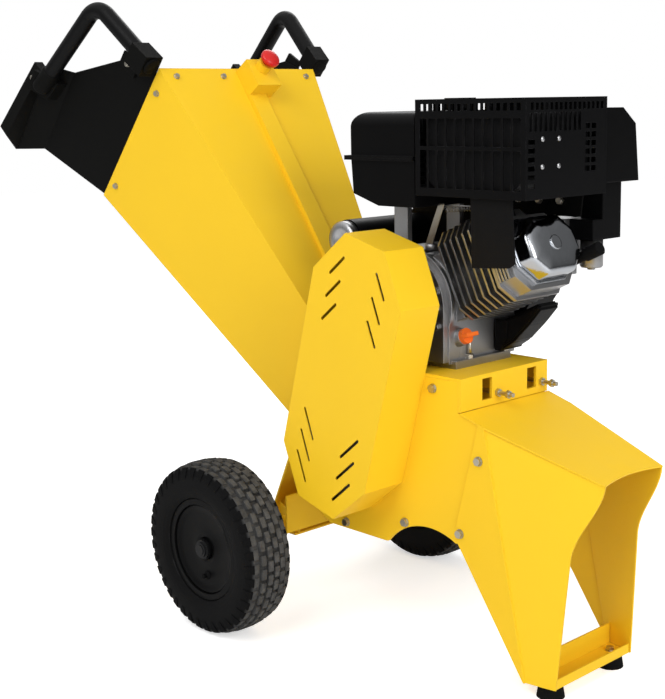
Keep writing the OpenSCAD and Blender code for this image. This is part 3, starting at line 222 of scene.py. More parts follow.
@dataclass
class GroupLibrary:
    """Builds the shared shader node groups once.

    Args:
        built: the groups that are built so far.
    """

    built: dict[Group, bpy.types.NodeTree] = field(default_factory=dict)

    def get(self, group: Group) -> bpy.types.NodeTree:
        """Gives a group, building it on first use.

        Args:
            group: which group.

        Returns:
            The group's node tree.
        """
        if group not in self.built:
            makers = {Group.GRAIN: self._grain, Group.WEAR_AND_HIGHLIGHT: self._wear_and_highlight_edges, Group.DUST: self._dust,
                      Group.BRUSH: self._brush, Group.TREAD_DUST_AND_SHEEN: self._tread_dust_and_sheen}
            self.built[group] = makers[group]()
        return self.built[group]

    @staticmethod
    def _kind(value: object) -> str:
        """Names the socket type of a default value.

        Args:
            value: one number, three for a vector or four for a colour.

        Returns:
            Blender's socket type name.
        """
        if not isinstance(value, tuple):
            return VALUE
        return COLOR if len(value) == 4 else "NodeSocketVector"

    def _start(self, group: Group, inputs: dict[str, object],
               outputs: dict[str, str]) -> tuple[Nodes, bpy.types.NodeOutputs, bpy.types.NodeInputs]:
        """Starts a group with named sockets.

        Args:
            group: the group to start.
            inputs: default values by input name.
            outputs: socket types by output name.

        Returns:
            The node helper, the sockets that bring the inputs in and those that take the outputs.
        """
        tree = bpy.data.node_groups.new(group.value, "ShaderNodeTree")
        for name, value in inputs.items():
            socket = tree.interface.new_socket(name, in_out="INPUT", socket_type=self._kind(value))
            socket.default_value = value
        for name, kind in outputs.items():
            tree.interface.new_socket(name, in_out="OUTPUT", socket_type=kind)
        nodes = Nodes(tree)
        enter = nodes.add("NodeGroupInput")
        leave = nodes.add("NodeGroupOutput")
        return nodes, enter.outputs, leave.inputs

    def _grain(self) -> bpy.types.NodeTree:
        """Fine and broad noise: colour shift, roughness and a height for bump.

        Returns:
            The group's tree.
        """
        n, source, out = self._start(
            Group.GRAIN, {"Color": GREY, "Scale": 400.0, "Tint": 0.08, "Roughness": 0.5, "Spread": 0.1},
            {"Color": COLOR, "Roughness": VALUE, "Height": VALUE})
        place = n.place()
        fine = n.noise(place, Scale=source["Scale"], Detail=4.0, Roughness=0.6)
        broad = n.noise(place, Scale=5.0, Detail=3.0)
        shade = n.math("MULTIPLY", n.swing(broad, source["Tint"]), BROAD_GAIN)
        value = n.math("ADD", 1.0, n.math("ADD", shade, n.swing(fine, source["Tint"])))
        shifted = n.add("ShaderNodeHueSaturation", Color=source["Color"], Value=value)
        n.link(shifted.outputs[0], out["Color"])
        rough = n.math("MULTIPLY", n.swing(broad, source["Spread"]), BROAD_GAIN)
        n.link(n.math("ADD", source["Roughness"], rough), out["Roughness"])
        n.link(fine, out["Height"])
        return n.tree

    def _wear_and_highlight_edges(self) -> bpy.types.NodeTree:
        """Finds edges by comparing a rounded normal with the face's own, and breaks them up.

        Returns:
            The group's tree.
        """
        # The second colour lightens the edges: worn paint, and on the yellow paint a painted highlight.
        n, source, out = self._start(
            Group.WEAR_AND_HIGHLIGHT, {"Color": GREY, "Wear Color": GREY, "Amount": 0.5, "Radius": 0.002}, {"Color": COLOR})
        rounded = n.add("ShaderNodeBevel", samples=BEVEL_SAMPLES, Radius=source["Radius"])
        own = n.add("ShaderNodeNewGeometry")
        dot = n.add("ShaderNodeVectorMath", operation="DOT_PRODUCT")
        n.link(rounded.outputs[0], dot.inputs[0])
        n.link(own.outputs["Normal"], dot.inputs[1])
        edge = n.span(dot.outputs["Value"], low=0.995, high=0.80)
        patch = n.noise(n.place(), Scale=38.0, Detail=6.0, Roughness=0.7)
        broken = n.span(patch, low=0.48, high=0.66)
        mask = n.math("MULTIPLY", n.math("MULTIPLY", edge, broken), source["Amount"])
        n.link(n.mix(mask, source["Color"], source["Wear Color"]), out["Color"])
        return n.tree

    def _dust(self) -> bpy.types.NodeTree:
        """Settles a pale film on faces that look upwards.

        Returns:
            The group's tree.
        """
        n, source, out = self._start(
            Group.DUST, {"Color": GREY, "Dust Color": (0.45, 0.42, 0.38, 1.0), "Amount": 0.1},
            {"Color": COLOR})
        normal = n.add("ShaderNodeNewGeometry").outputs["Normal"]
        split = n.add("ShaderNodeSeparateXYZ", Vector=normal)
        upward = n.span(split.outputs["Z"], low=0.2, high=1.0)
        drift = n.noise(n.place(), Scale=24.0, Detail=5.0, Roughness=0.65)
        settled = n.math("MULTIPLY", upward, n.span(drift, low=0.4, high=0.7))
        mask = n.math("MULTIPLY", settled, source["Amount"])
        n.link(n.mix(mask, source["Color"], source["Dust Color"]), out["Color"])
        return n.tree

    def _brush(self) -> bpy.types.NodeTree:
        """Long thin lines for ground and drawn metal.

        Returns:
            The group's tree.
        """
        n, source, out = self._start(
            Group.BRUSH, {"Stretch": Axis.NONE.value, "Scale": 900.0, "Roughness": 0.35, "Spread": 0.15},
            {"Roughness": VALUE, "Height": VALUE})
        stretched = n.add("ShaderNodeVectorMath", operation="MULTIPLY")
        n.link(n.place(), stretched.inputs[0])
        n.link(source["Stretch"], stretched.inputs[1])
        lines = n.noise(stretched.outputs[0], Scale=source["Scale"], Detail=3.0, Roughness=0.7)
        n.link(n.math("ADD", source["Roughness"], n.swing(lines, source["Spread"])), out["Roughness"])
        n.link(lines, out["Height"])
        return n.tree

    def _tread_dust_and_sheen(self) -> bpy.types.NodeTree:
        """Greys a tyre's outermost faces by their distance from the axle: dust, and a painted sheen on the
        lug tops.

        Returns:
            The group's tree.
        """
        n, source, out = self._start(
            Group.TREAD_DUST_AND_SHEEN,
            {"Color": (0.01, 0.01, 0.01, 1.0), "Dust And Sheen Color": (0.11, 0.11, 0.109, 1.0), "Axle Height": 0.165,
             "Low": 0.152, "High": 0.160, "Amount": 0.8},
            {"Color": COLOR})
        place = n.place()
        split = n.add("ShaderNodeSeparateXYZ", Vector=place).outputs
        rise = n.math("SUBTRACT", split["Z"], source["Axle Height"])
        square = n.math("ADD", n.math("MULTIPLY", split["X"], split["X"]), n.math("MULTIPLY", rise, rise))
        reach = n.span(n.math("SQRT", square), source["Low"], source["High"])
        scuff = n.noise(place, Scale=60.0, Detail=5.0, Roughness=0.7)
        broken = n.span(scuff, low=0.3, high=0.7, to_low=0.35)
        mask = n.math("MULTIPLY", n.math("MULTIPLY", reach, broken), source["Amount"])
        n.link(n.mix(mask, source["Color"], source["Dust And Sheen Color"]), out["Color"])
        return n.tree


GROUPS = GroupLibrary()


@dataclass(frozen=True)
class Finish:
    """One surface finish; its material is built on first use.

    Args:
        name: material name.
        color: linear base colour.
        roughness: mean roughness.
        metallic: 1 for bare metal.
        grain_scale: texture scale of the fine grain.
        grain_bump: bump distance of the grain.
        tint: share by which the colour varies.
        spread: how much the roughness varies.
        edge_radius: radius of the softened edges.
        edge_wear_highlight: strength of the lighter edges, which are worn paint and, on the yellow, a painted
            highlight.
        edge_wear_highlight_color: colour at those edges.
        edge_wear_highlight_reach: width of those edges, in edge radii.
        dust: strength of the dust film.
        coat: clear-coat weight.
        coat_roughness: clear-coat roughness.
        brush: direction of machining lines.
        brush_gain: how much more the roughness varies across machining lines.
        specular: specular level, 0.5 for a common gloss.
        tread_dust_sheen: strength of the grey on a tyre's outermost faces, which is dust and a painted sheen.
    """

    name: str
    color: Color
    roughness: float
    metallic: float = 0.0
    grain_scale: float = 400.0
    grain_bump: float = 0.0002
    tint: float = 0.06
    spread: float = 0.1
    edge_radius: float = 0.0015
    edge_wear_highlight: float = 0.0
    edge_wear_highlight_color: Color = (0.5, 0.5, 0.5)
    edge_wear_highlight_reach: float = 1.5
    dust: float = 0.0
    coat: float = 0.0
    coat_roughness: float = 0.15
    brush: Axis = Axis.NONE
    brush_gain: float = 2.0
    specular: float = 0.5
    tread_dust_sheen: float = 0.0

    @staticmethod
    def _group(nodes: Nodes, group: Group, **values: object) -> bpy.types.NodeOutputs:
        """Places a shared group in the material.

        Args:
            nodes: helper of the material's tree.
            group: which group.
            values: values or sockets by input name with underscores for spaces.

        Returns:
            The group's outputs by name.
        """
        return nodes.add("ShaderNodeGroup", node_tree=GROUPS.get(group), **values).outputs

    def material(self) -> bpy.types.Material:
        """Gives the finish's material.

        Returns:
            The material, the same one on every call.
        """
        known = bpy.data.materials.get(self.name)
        if known is not None:
            return known
        material = bpy.data.materials.new(self.name)
        material.use_nodes = True
        material.node_tree.nodes.clear()
        n = Nodes(material.node_tree)
        grain = self._group(n, Group.GRAIN, Color=(*self.color, 1.0), Scale=self.grain_scale, Tint=self.tint,
                            Roughness=self.roughness, Spread=self.spread)
        color, rough, height = grain["Color"], grain["Roughness"], grain["Height"]
        if self.brush is not Axis.NONE:
            lines = self._group(n, Group.BRUSH, Stretch=self.brush.value, Roughness=self.roughness,
                                Spread=self.spread * self.brush_gain)
            rough, height = lines["Roughness"], lines["Height"]
        if self.edge_wear_highlight > 0:
            color = self._group(n, Group.WEAR_AND_HIGHLIGHT, Color=color, Wear_Color=(*self.edge_wear_highlight_color, 1.0),
                                Amount=self.edge_wear_highlight, Radius=self.edge_radius * self.edge_wear_highlight_reach)["Color"]
        if self.tread_dust_sheen > 0:
            color = self._group(n, Group.TREAD_DUST_AND_SHEEN, Color=color, Amount=self.tread_dust_sheen)["Color"]
        if self.dust > 0:
            color = self._group(n, Group.DUST, Color=color, Amount=self.dust)["Color"]
        round_edge = n.add("ShaderNodeBevel", samples=BEVEL_SAMPLES, Radius=self.edge_radius)
        bump = n.add("ShaderNodeBump", Strength=BUMP_STRENGTH, Distance=self.grain_bump, Height=height,
                     Normal=round_edge.outputs[0])
        shader = n.add("ShaderNodeBsdfPrincipled", Metallic=self.metallic, Coat_Weight=self.coat,
                       Coat_Roughness=self.coat_roughness, Specular_IOR_Level=self.specular, Base_Color=color,
                       Roughness=rough, Normal=bump.outputs[0])
        n.add("ShaderNodeOutputMaterial", Surface=shader.outputs[0])
        return material


# Finishes of the machine's sheet, castings, fasteners, rubber and plastic
# The yellow's edge colour is lighter and warmer than the paint: a painted highlight along its edges.
YELLOW = Finish("yellow_powder_coat", (0.90, 0.565, 0.018), 0.46, grain_scale=650.0, grain_bump=0.00012,
                tint=0.02, spread=0.06, edge_radius=0.002, edge_wear_highlight=0.12, edge_wear_highlight_color=(0.95, 0.70, 0.10),
                dust=0.02, specular=0.18)
# Darker, browner copy of the yellow paint: painted shade inside the drum chamber, under a dust film.
YELLOW_SHADED_INSIDE = Finish("yellow_painted_shade_inside", (0.62, 0.36, 0.012), 0.55, grain_scale=600.0, tint=0.05,
                       dust=0.08, specular=0.18)
BLACK_SHEET = Finish("black_textured_paint", (0.0045, 0.0045, 0.0042), 0.55, grain_scale=900.0,
                     grain_bump=0.0003, tint=0.2, edge_radius=0.002, edge_wear_highlight=0.25, edge_wear_highlight_color=(0.03, 0.03, 0.03),
                     dust=0.008, specular=0.05)
BLACK_TUBE = Finish("black_tube_coat", (0.0035, 0.0035, 0.0037), 0.40, grain_scale=700.0, tint=0.1,
                    specular=0.12)
BLACK_PLASTIC = Finish("black_moulded_plastic", (0.0030, 0.0030, 0.0032), 0.36, grain_scale=1200.0,
                       grain_bump=0.0001, tint=0.1, edge_radius=0.004, specular=0.06)
BLACK_WIRE = Finish("black_guard_paint", (0.0030, 0.0030, 0.0033), 0.40, grain_scale=800.0, tint=0.12,
                    edge_radius=0.0008, edge_wear_highlight=0.5, edge_wear_highlight_color=(0.07, 0.07, 0.075), specular=0.07)
BLACK_OXIDE = Finish("blackened_steel", (0.012, 0.012, 0.0125), 0.42, grain_scale=700.0, tint=0.2,
                     edge_radius=0.001, edge_wear_highlight=0.4, edge_wear_highlight_color=(0.05, 0.05, 0.05), specular=0.12)
CAST_ALLOY = Finish("cast_aluminium", (0.36, 0.36, 0.365), 0.40, metallic=1.0, grain_scale=520.0,
                    grain_bump=0.0006, tint=0.22, spread=0.16, edge_radius=0.002, edge_wear_highlight=0.4,
                    edge_wear_highlight_color=(0.66, 0.66, 0.67))
FIN_ALLOY = Finish("machined_aluminium", (0.40, 0.40, 0.405), 0.34, metallic=1.0, grain_scale=600.0,
                   tint=0.12, brush=Axis.ALONG_Y, edge_radius=0.0008)
CHROME = Finish("polished_chrome", (0.52, 0.54, 0.57), 0.08, metallic=1.0, grain_scale=24.0,
                grain_bump=0.0006, tint=0.05, spread=0.05, edge_radius=0.004)
ZINC = Finish("zinc_plate", (0.50, 0.47, 0.40), 0.32, metallic=1.0, grain_scale=900.0, tint=0.2,
              edge_radius=0.0006)
STEEL = Finish("ground_steel", (0.44, 0.44, 0.45), 0.3, metallic=1.0, brush=Axis.ALONG_Y, edge_radius=0.0008)
IRON = Finish("cast_iron", (0.05, 0.05, 0.053), 0.6, metallic=0.6, grain_scale=420.0, grain_bump=0.0008,
              tint=0.2, specular=0.2)
HOT_STEEL = Finish("heat_dulled_steel", (0.006, 0.006, 0.0065), 0.5, metallic=0.2, grain_scale=300.0,
                   tint=0.3, spread=0.2, specular=0.08)
# Lighter grey on the lug tops and edges: dust, and a painted sheen.
TYRE = Finish("tyre_rubber", (0.0040, 0.0040, 0.0042), 0.66, grain_scale=700.0, grain_bump=0.0005, tint=0.25,
              edge_radius=0.002, edge_wear_highlight=0.8, edge_wear_highlight_color=(0.06, 0.06, 0.06), specular=0.08, tread_dust_sheen=0.9)
RIM_PAINT = Finish("dark_rim_paint", (0.0038, 0.0038, 0.0040), 0.40, grain_scale=700.0, tint=0.1,
                   edge_radius=0.002, dust=0.008, specular=0.06)
RUBBER = Finish("black_rubber", (0.0045, 0.0045, 0.0047), 0.7, grain_scale=500.0, grain_bump=0.0004, tint=0.2,
                specular=0.06)
RED = Finish("red_button_plastic", (0.62, 0.012, 0.010), 0.34, grain_scale=900.0, tint=0.06,
             edge_radius=0.003, coat=0.2, specular=0.3)
ORANGE = Finish("orange_plug_plastic", (0.80, 0.15, 0.016), 0.38, grain_scale=900.0, tint=0.08,
                edge_radius=0.002, specular=0.25)


@dataclass(frozen=True)
class Mount:
    """Where a small piece sits, and on what.

    Args:
        body: the frame's body that it rides on.
        slot: the record's material slot; not used.
        at: origin of the piece.
        axis: direction of the piece's own +Z.
    """

    body: str
    slot: str
    at: Point
    axis: Point = TO_BELTS

    def place(self, piece: bpy.types.Object, finish: Finish) -> None:
        """Sets a piece in place, dresses it and lets it ride.

        Args:
            piece: the new piece, built round its own origin.
            finish: its finish.
        """
        piece.data.materials.append(finish.material())
        turn = Vector(self.axis).normalized().to_track_quat("Z", "Y")
        piece.matrix_world = Matrix.Translation(Vector(self.at)) @ turn.to_matrix().to_4x4()
        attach(piece, self.body)
        LOG.info("piece: %s rides on %s", piece.name, self.body)


@dataclass(frozen=True)
class MeshKit:
    """Builds the small turned, pressed, stamped, coiled and lugged pieces as meshes.

    Args:
        segments: steps round a turned piece.
        wire_sides: steps round a wire.
        dome_end: angle at which a dome's profile stops short of its crown, in degrees.
    """

    segments: int = 40
    wire_sides: int = 10
    dome_end: int = 85

    @staticmethod
    def _object(name: str, mesh: bmesh.types.BMesh, smooth: bool) -> bpy.types.Object:
        """Turns a bmesh into a linked object.

        Args:
            name: object name.
            mesh: the finished bmesh, which is freed.
            smooth: shade its faces smoothly.

        Returns:
            The object.
        """
        bmesh.ops.recalc_face_normals(mesh, faces=mesh.faces)
        for face in mesh.faces:
            face.smooth = smooth
        data = bpy.data.meshes.new(name)
        mesh.to_mesh(data)
        mesh.free()
        piece = bpy.data.objects.new(name, data)
        bpy.context.scene.collection.objects.link(piece)
        return piece

    @staticmethod
    def _skin(mesh: bmesh.types.BMesh, loops: list[list[bmesh.types.BMVert]], ring: bool = False) -> None:
        """Joins loops of vertices by faces.

        Args:
            mesh: the bmesh that holds them.
            loops: loops of equal count, in order.
            ring: join the last loop to the first instead of capping both ends.
        """
        count = len(loops[0])
        following = loops[1:] + loops[:1] if ring else loops[1:]
        for low, high in zip(loops, following):
            for k in range(count):
                j = (k + 1) % count
                mesh.faces.new((low[k], low[j], high[j], high[k]))
        if not ring:
            mesh.faces.new(loops[0][::-1])
            mesh.faces.new(loops[-1])

    @staticmethod
    def _circle(radius: float, count: int, height: float = 0.0) -> list[Vector]:
        """Gives evenly spaced points round +Z.

        Args:
            radius: distance from the axis.
            count: number of points.
            height: their height.

        Returns:
            The points.
        """
        angles = (2 * math.pi * k / count for k in range(count))
        return [Vector((radius * math.cos(a), radius * math.sin(a), height)) for a in angles]

    def dome(self, radius: float, low: float, top: float, step: int) -> list[Pair]:
        """Gives the profile of a dome, from its brim almost to its crown.

        Args:
            radius: radius at the brim.
            low: height of the brim.
            top: height of the crown.
            step: degrees between two points.

        Returns:
            Points of radius and height.
        """
        angles = (math.radians(d) for d in range(0, self.dome_end + 1, step))
        return [(radius * math.cos(a), low + (top - low) * math.sin(a)) for a in angles]

    def pressed(self, name: str, size: Point, radius: float, profile: list[Pair]) -> bpy.types.Object:
        """Presses an eight-sided lid with rounded corners from sheet, drawn up along +Z.

        Args:
            name: object name.
            size: width and height of its foot, and what its corners are cut back.
            radius: rounding of the eight corners.
            profile: inset and height of each loop, from the foot to the crown.

        Returns:
            The object.
        """
        steps = self.segments // 8
        mesh = bmesh.new()
        loops = []
        for inset, height in profile:
            inward = inset + radius
            wide, tall = size[0] / 2 - inward, size[1] / 2 - inward
            cut = size[2] - (2 - math.sqrt(2)) * inward
            corners = [(wide, tall - cut), (wide - cut, tall), (cut - wide, tall), (-wide, tall - cut)]
            corners += [(-x, -y) for x, y in corners]
            loops.append([mesh.verts.new((x + radius * math.cos(a), y + radius * math.sin(a), height))
                          for k, (x, y) in enumerate(corners)
                          for a in (math.pi / 4 * (k + s / steps) for s in range(steps + 1))])
        self._skin(mesh, loops)
        return self._object(name, mesh, smooth=True)

    def turned(self, name: str, profile: list[Pair], sides: int = 0, ring: bool = False) -> bpy.types.Object:
        """Turns a profile of (radius, height) about +Z.

        Args:
            name: object name.
            profile: points from the lower to the upper end, or round the section of a ring.
            sides: sides of a prism, or 0 for round.
            ring: close the section on itself instead of capping both ends.

        Returns:
            The object.
        """
        count = sides or self.segments
        mesh = bmesh.new()
        loops = []
        for radius, height in profile:
            loops.append([mesh.verts.new(point) for point in self._circle(radius, count, height)])
        self._skin(mesh, loops, ring)
        return self._object(name, mesh, smooth=not sides)

    def stamped(self, name: str, outline: list[Pair], thickness: float, edge: float) -> bpy.types.Object:
        """Stamps a plate from an outline in its own X and Y, with rounded edges.

        Args:
            name: object name.
            outline: corners of the plate.
            thickness: plate thickness.
            edge: radius of the rounded edges.

        Returns:
            The object.
        """
        mesh = bmesh.new()
        face = mesh.faces.new([mesh.verts.new((x, y, 0.0)) for x, y in outline])
        drawn = bmesh.ops.extrude_face_region(mesh, geom=[face])["geom"]
        moved = [v for v in drawn if isinstance(v, bmesh.types.BMVert)]
        bmesh.ops.translate(mesh, vec=(0.0, 0.0, thickness), verts=moved)
        bmesh.ops.bevel(mesh, geom=mesh.edges[:], offset=edge, segments=2, affect="EDGES")
        return self._object(name, mesh, smooth=False)

    def wire(self, name: str, points: list[Point], radius: float) -> bpy.types.Object:
        """Sweeps a round section along points, as for a spring or a link rod.

        Args:
            name: object name.
            points: the wire's path.
            radius: wire radius.

        Returns:
            The object.
        """
        mesh = bmesh.new()
        loops = []
        for k, point in enumerate(points):
            ahead = Vector(points[min(k + 1, len(points) - 1)]) - Vector(points[max(k - 1, 0)])
            turn = ahead.to_track_quat("Z", "Y")
            section = self._circle(radius, self.wire_sides)
            loops.append([mesh.verts.new(Vector(point) + turn @ offset) for offset in section])
        self._skin(mesh, loops)
        return self._object(name, mesh, smooth=True)

    def lugs(self, name: str, count: int, sections: list[tuple[float, ...]]) -> bpy.types.Object:
        """Sets a ring of tapered lugs round +Z.

        Args:
            name: object name.
            count: lugs round the ring.
            sections: radius, half width, lower and upper height of each section, from the inner end.

        Returns:
            The object.
        """
        mesh = bmesh.new()
        for k in range(count):
            turn = Matrix.Rotation(2 * math.pi * k / count, 3, "Z")
            loops = []
            for radius, half, low, high in sections:
                corners = ((-half, low), (half, low), (half, high), (-half, high))
                points = [turn @ Vector((radius, across, height)) for across, height in corners]
                loops.append([mesh.verts.new(point) for point in points])
            self._skin(mesh, loops)
        return self._object(name, mesh, smooth=False)

    def hex_bolt(self, name: str, radius: float) -> bpy.types.Object:
        """Makes a hexagon bolt head with a chamfered top on a washer.

        Args:
            name: object name.
            radius: thread radius.

        Returns:
            The object.
        """
        washer, washer_top = 2.1 * radius, 0.4 * radius
        head, shoulder = 1.85 * radius, 1.4 * radius
        chamfer, chamfer_top = 0.82 * head, 1.7 * radius
        middle, middle_top = 0.3 * head, 1.72 * radius
        profile = [(washer, 0.0), (washer, washer_top), (head, washer_top), (head, shoulder),
                   (chamfer, chamfer_top), (middle, middle_top)]
        return self.turned(name, profile, sides=6)

    def hex_nut(self, name: str, radius: float) -> bpy.types.Object:
        """Makes a hexagon nut with a chamfered top.

        Args:
            name: object name.
            radius: thread radius.

        Returns:
            The object.
        """
        head, shoulder = 1.85 * radius, 1.5 * radius
        chamfer, top = 1.5 * radius, 1.8 * radius
        return self.turned(name, [(head, 0.0), (head, shoulder), (chamfer, top)], sides=6)


KIT = MeshKit()


@dataclass
class Assembly:
    """A group of the frame's solids and the finish of each.

    Args:
        title: plain name for the log.
        finishes: finish by node name.
    """

    title: str
    finishes: dict[str, Finish]

    def build(self) -> None:
        """Makes the pieces that the frame lacks, which are none unless an assembly says otherwise."""

    def dress(self) -> None:
        """Gives every solid of the assembly its material."""
        for node, finish in self.finishes.items():
            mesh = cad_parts[node].data
            mesh.materials.clear()
            mesh.materials.append(finish.material())
            LOG.info("%s: %s takes %s", self.title, node, finish.name)


@dataclass
class FeedHopper(Assembly):
    """Hopper, tray, handles and the stop switch.

    A place on the tray is its distance up along the mouth from the drum's axis, outwards from the mouth, and
    from the machine's middle. A way on the tray is a direction in the same three axes.

    Args:
        feed_tilt: slope of the hopper's axis, in radians.
        drum: X and Z of the drum's axis.
        mouth: distance from the drum's axis to the hopper's mouth.
        bolt_r: thread radius of the tray's bolts.
        bolts: place of the bolt in the tray's ear and in its rim channel, by the bolt's name.
        tube_r: outer radius of a handle's tube.
        sleeve_r: radius of the sleeve at a handle's root.
        sleeve_len: length of the sleeve.
        sleeve_lap: length of its tapered end inside the rim channel.
        root: place where a handle leaves the rim channel.
        root_way: way of the handle there.
        clamp: place of the plug in a handle's clamp.
        clamp_way: way that the plug faces.
        plug_r: radius of the plug.
        plug_t: thickness of the plug.
        button_at: middle of the button head's underside, in the frame's axes.
        button_axis: direction in which the button stands, in the frame's axes.
        button_r: radius of the button's head.
        button_rise: height of the head.
        button_brim: share of the head's height at which its dome starts.
        button_step: degrees between two points of the dome's profile.
        stem_r: radius of the button's stem.
        stem_len: length of the stem.
    """

    title: str = "feed hopper"
    finishes: dict[str, Finish] = field(default_factory=lambda: {
        "hopper": YELLOW, "inlet_tray": BLACK_SHEET, "handle_left": BLACK_TUBE, "handle_right": BLACK_TUBE,
        "handle_sockets": BLACK_SHEET, "stop_switch_box": YELLOW, "cable_channel": YELLOW, "stop_button": RED,
        "hopper_bolts": ZINC})
    feed_tilt: float = math.radians(40.25)
    drum: Pair = (0.225, 0.369)
    mouth: float = 0.809
    bolt_r: float = 0.0035
    bolts: dict[str, Point] = field(default_factory=lambda: {
        "ear": (0.178, 0.072, 0.219), "rim": (-0.006, 0.256, 0.2823)})
    tube_r: float = 0.017
    sleeve_r: float = 0.01972
    sleeve_len: float = 0.046
    sleeve_lap: float = 0.006
    root: Point = (-0.010, 0.230, 0.2746)
    root_way: Point = (0.9815, -0.161, -0.1023)
    clamp: Point = (0.226, 0.0038, 0.2218)
    clamp_way: Point = (-0.0415, -0.9885, -0.1456)
    plug_r: float = 0.01836
    plug_t: float = 0.004
    button_at: Point = (-0.1750, 0.017, 1.0772)
    button_axis: Point = (0.8227, 0.0, 0.5685)
    button_r: float = 0.0205
    button_rise: float = 0.016
    button_brim: float = 0.45
    button_step: int = 7
    stem_r: float = 0.009
    stem_len: float = 0.034

    def feed_way(self, way: Point, side: int) -> Point:
        """Turns a way on the tray into the frame's axes.

        Args:
            way: the way on the tray.
            side: -1 for the belt side, 1 for the far side.

        Returns:
            The direction in the frame.
        """
        up, out, across = way
        cos, sin = math.cos(self.feed_tilt), math.sin(self.feed_tilt)
        return (up * sin - out * cos, side * across, up * cos + out * sin)

    def feed_point(self, place: Point, side: int) -> Point:
        """Gives a place on the tray in the frame's axes.

        Args:
            place: the place on the tray.
            side: -1 for the belt side, 1 for the far side.

        Returns:
            The point in the frame.
        """
        up, out, across = place
        x, y, z = self.feed_way((up, self.mouth + out, across), side)
        return (self.drum[0] + x, y, self.drum[1] + z)

    def build(self) -> None:
        """Makes the mushroom button, and the bolts, sleeves and plugs of the tray's handles."""
        self._button()
        for side, label in ((-1, "near"), (1, "far")):
            for spot, place in self.bolts.items():
                bolt = KIT.hex_bolt(f"{spot}_bolt_{label}", self.bolt_r)
                Mount("machine", "zinc_steel", self.feed_point(place, side), sideways(side)).place(bolt, ZINC)
            self._handle_ends(side, label)

    def _button(self) -> None:
        """Makes the mushroom head that stands for the frame's plain stop button."""
        r, rise = self.button_r, self.button_rise
        stem = [(self.stem_r, -self.stem_len), (self.stem_r, 0.0)]
        underside = [(0.8 * r, 0.0), (0.97 * r, 0.12 * rise)]
        dome = KIT.dome(r, self.button_brim * rise, rise, self.button_step)
        button = KIT.turned("stop_button_mushroom", stem + underside + dome)
        Mount("stop_button", "red_plastic", self.button_at, self.button_axis).place(button, RED)
        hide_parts("stop_button")

    def _handle_ends(self, side: int, label: str) -> None:
        """Makes the sleeve at a handle's root and the plug in its clamp.

        Args:
            side: -1 for the belt side, 1 for the far side.
            label: the side's word in the pieces' names.
        """
        tube, outer, length, lap = self.tube_r, self.sleeve_r, self.sleeve_len, self.sleeve_lap
        sleeve = KIT.turned(f"handle_sleeve_{label}", [
            (0.7 * tube, -lap), (1.1 * tube, -lap / 2), (outer, 0.0), (outer, length),
            (1.03 * tube, length + lap / 3)])
        rim, thick = self.plug_r, self.plug_t
        plug = KIT.turned(f"clamp_plug_{label}", [(rim, 0.0), (rim, 0.625 * thick), (0.9 * tube, thick)])
        for piece, place, way in ((sleeve, self.root, self.root_way), (plug, self.clamp, self.clamp_way)):
            at = self.feed_point(place, side)
            Mount("machine", "black_paint", at, self.feed_way(way, side)).place(piece, BLACK_SHEET)


@dataclass
class DrumHousing(Assembly):
    """Side plates, chamber, deck, belt drive and drum."""

    title: str = "drum housing"
    # The chamber floor takes the darker yellow, which is painted shade for the inside of the chamber.
    finishes: dict[str, Finish] = field(default_factory=lambda: {
        "side_plate_left": YELLOW, "side_plate_right": YELLOW, "chamber_floor": YELLOW_SHADED_INSIDE, "anvil": STEEL,
        "engine_deck": YELLOW, "belt_cover": YELLOW, "drive_belts": RUBBER, "rotor_bearings": IRON,
        "rotor_drum": IRON, "rotor_knives": STEEL, "rotor_shaft": STEEL, "rotor_pulley": IRON,
        "clutch_pulley": IRON, "housing_bolts": ZINC, "tension_bolts": ZINC, "engine_studs": ZINC})


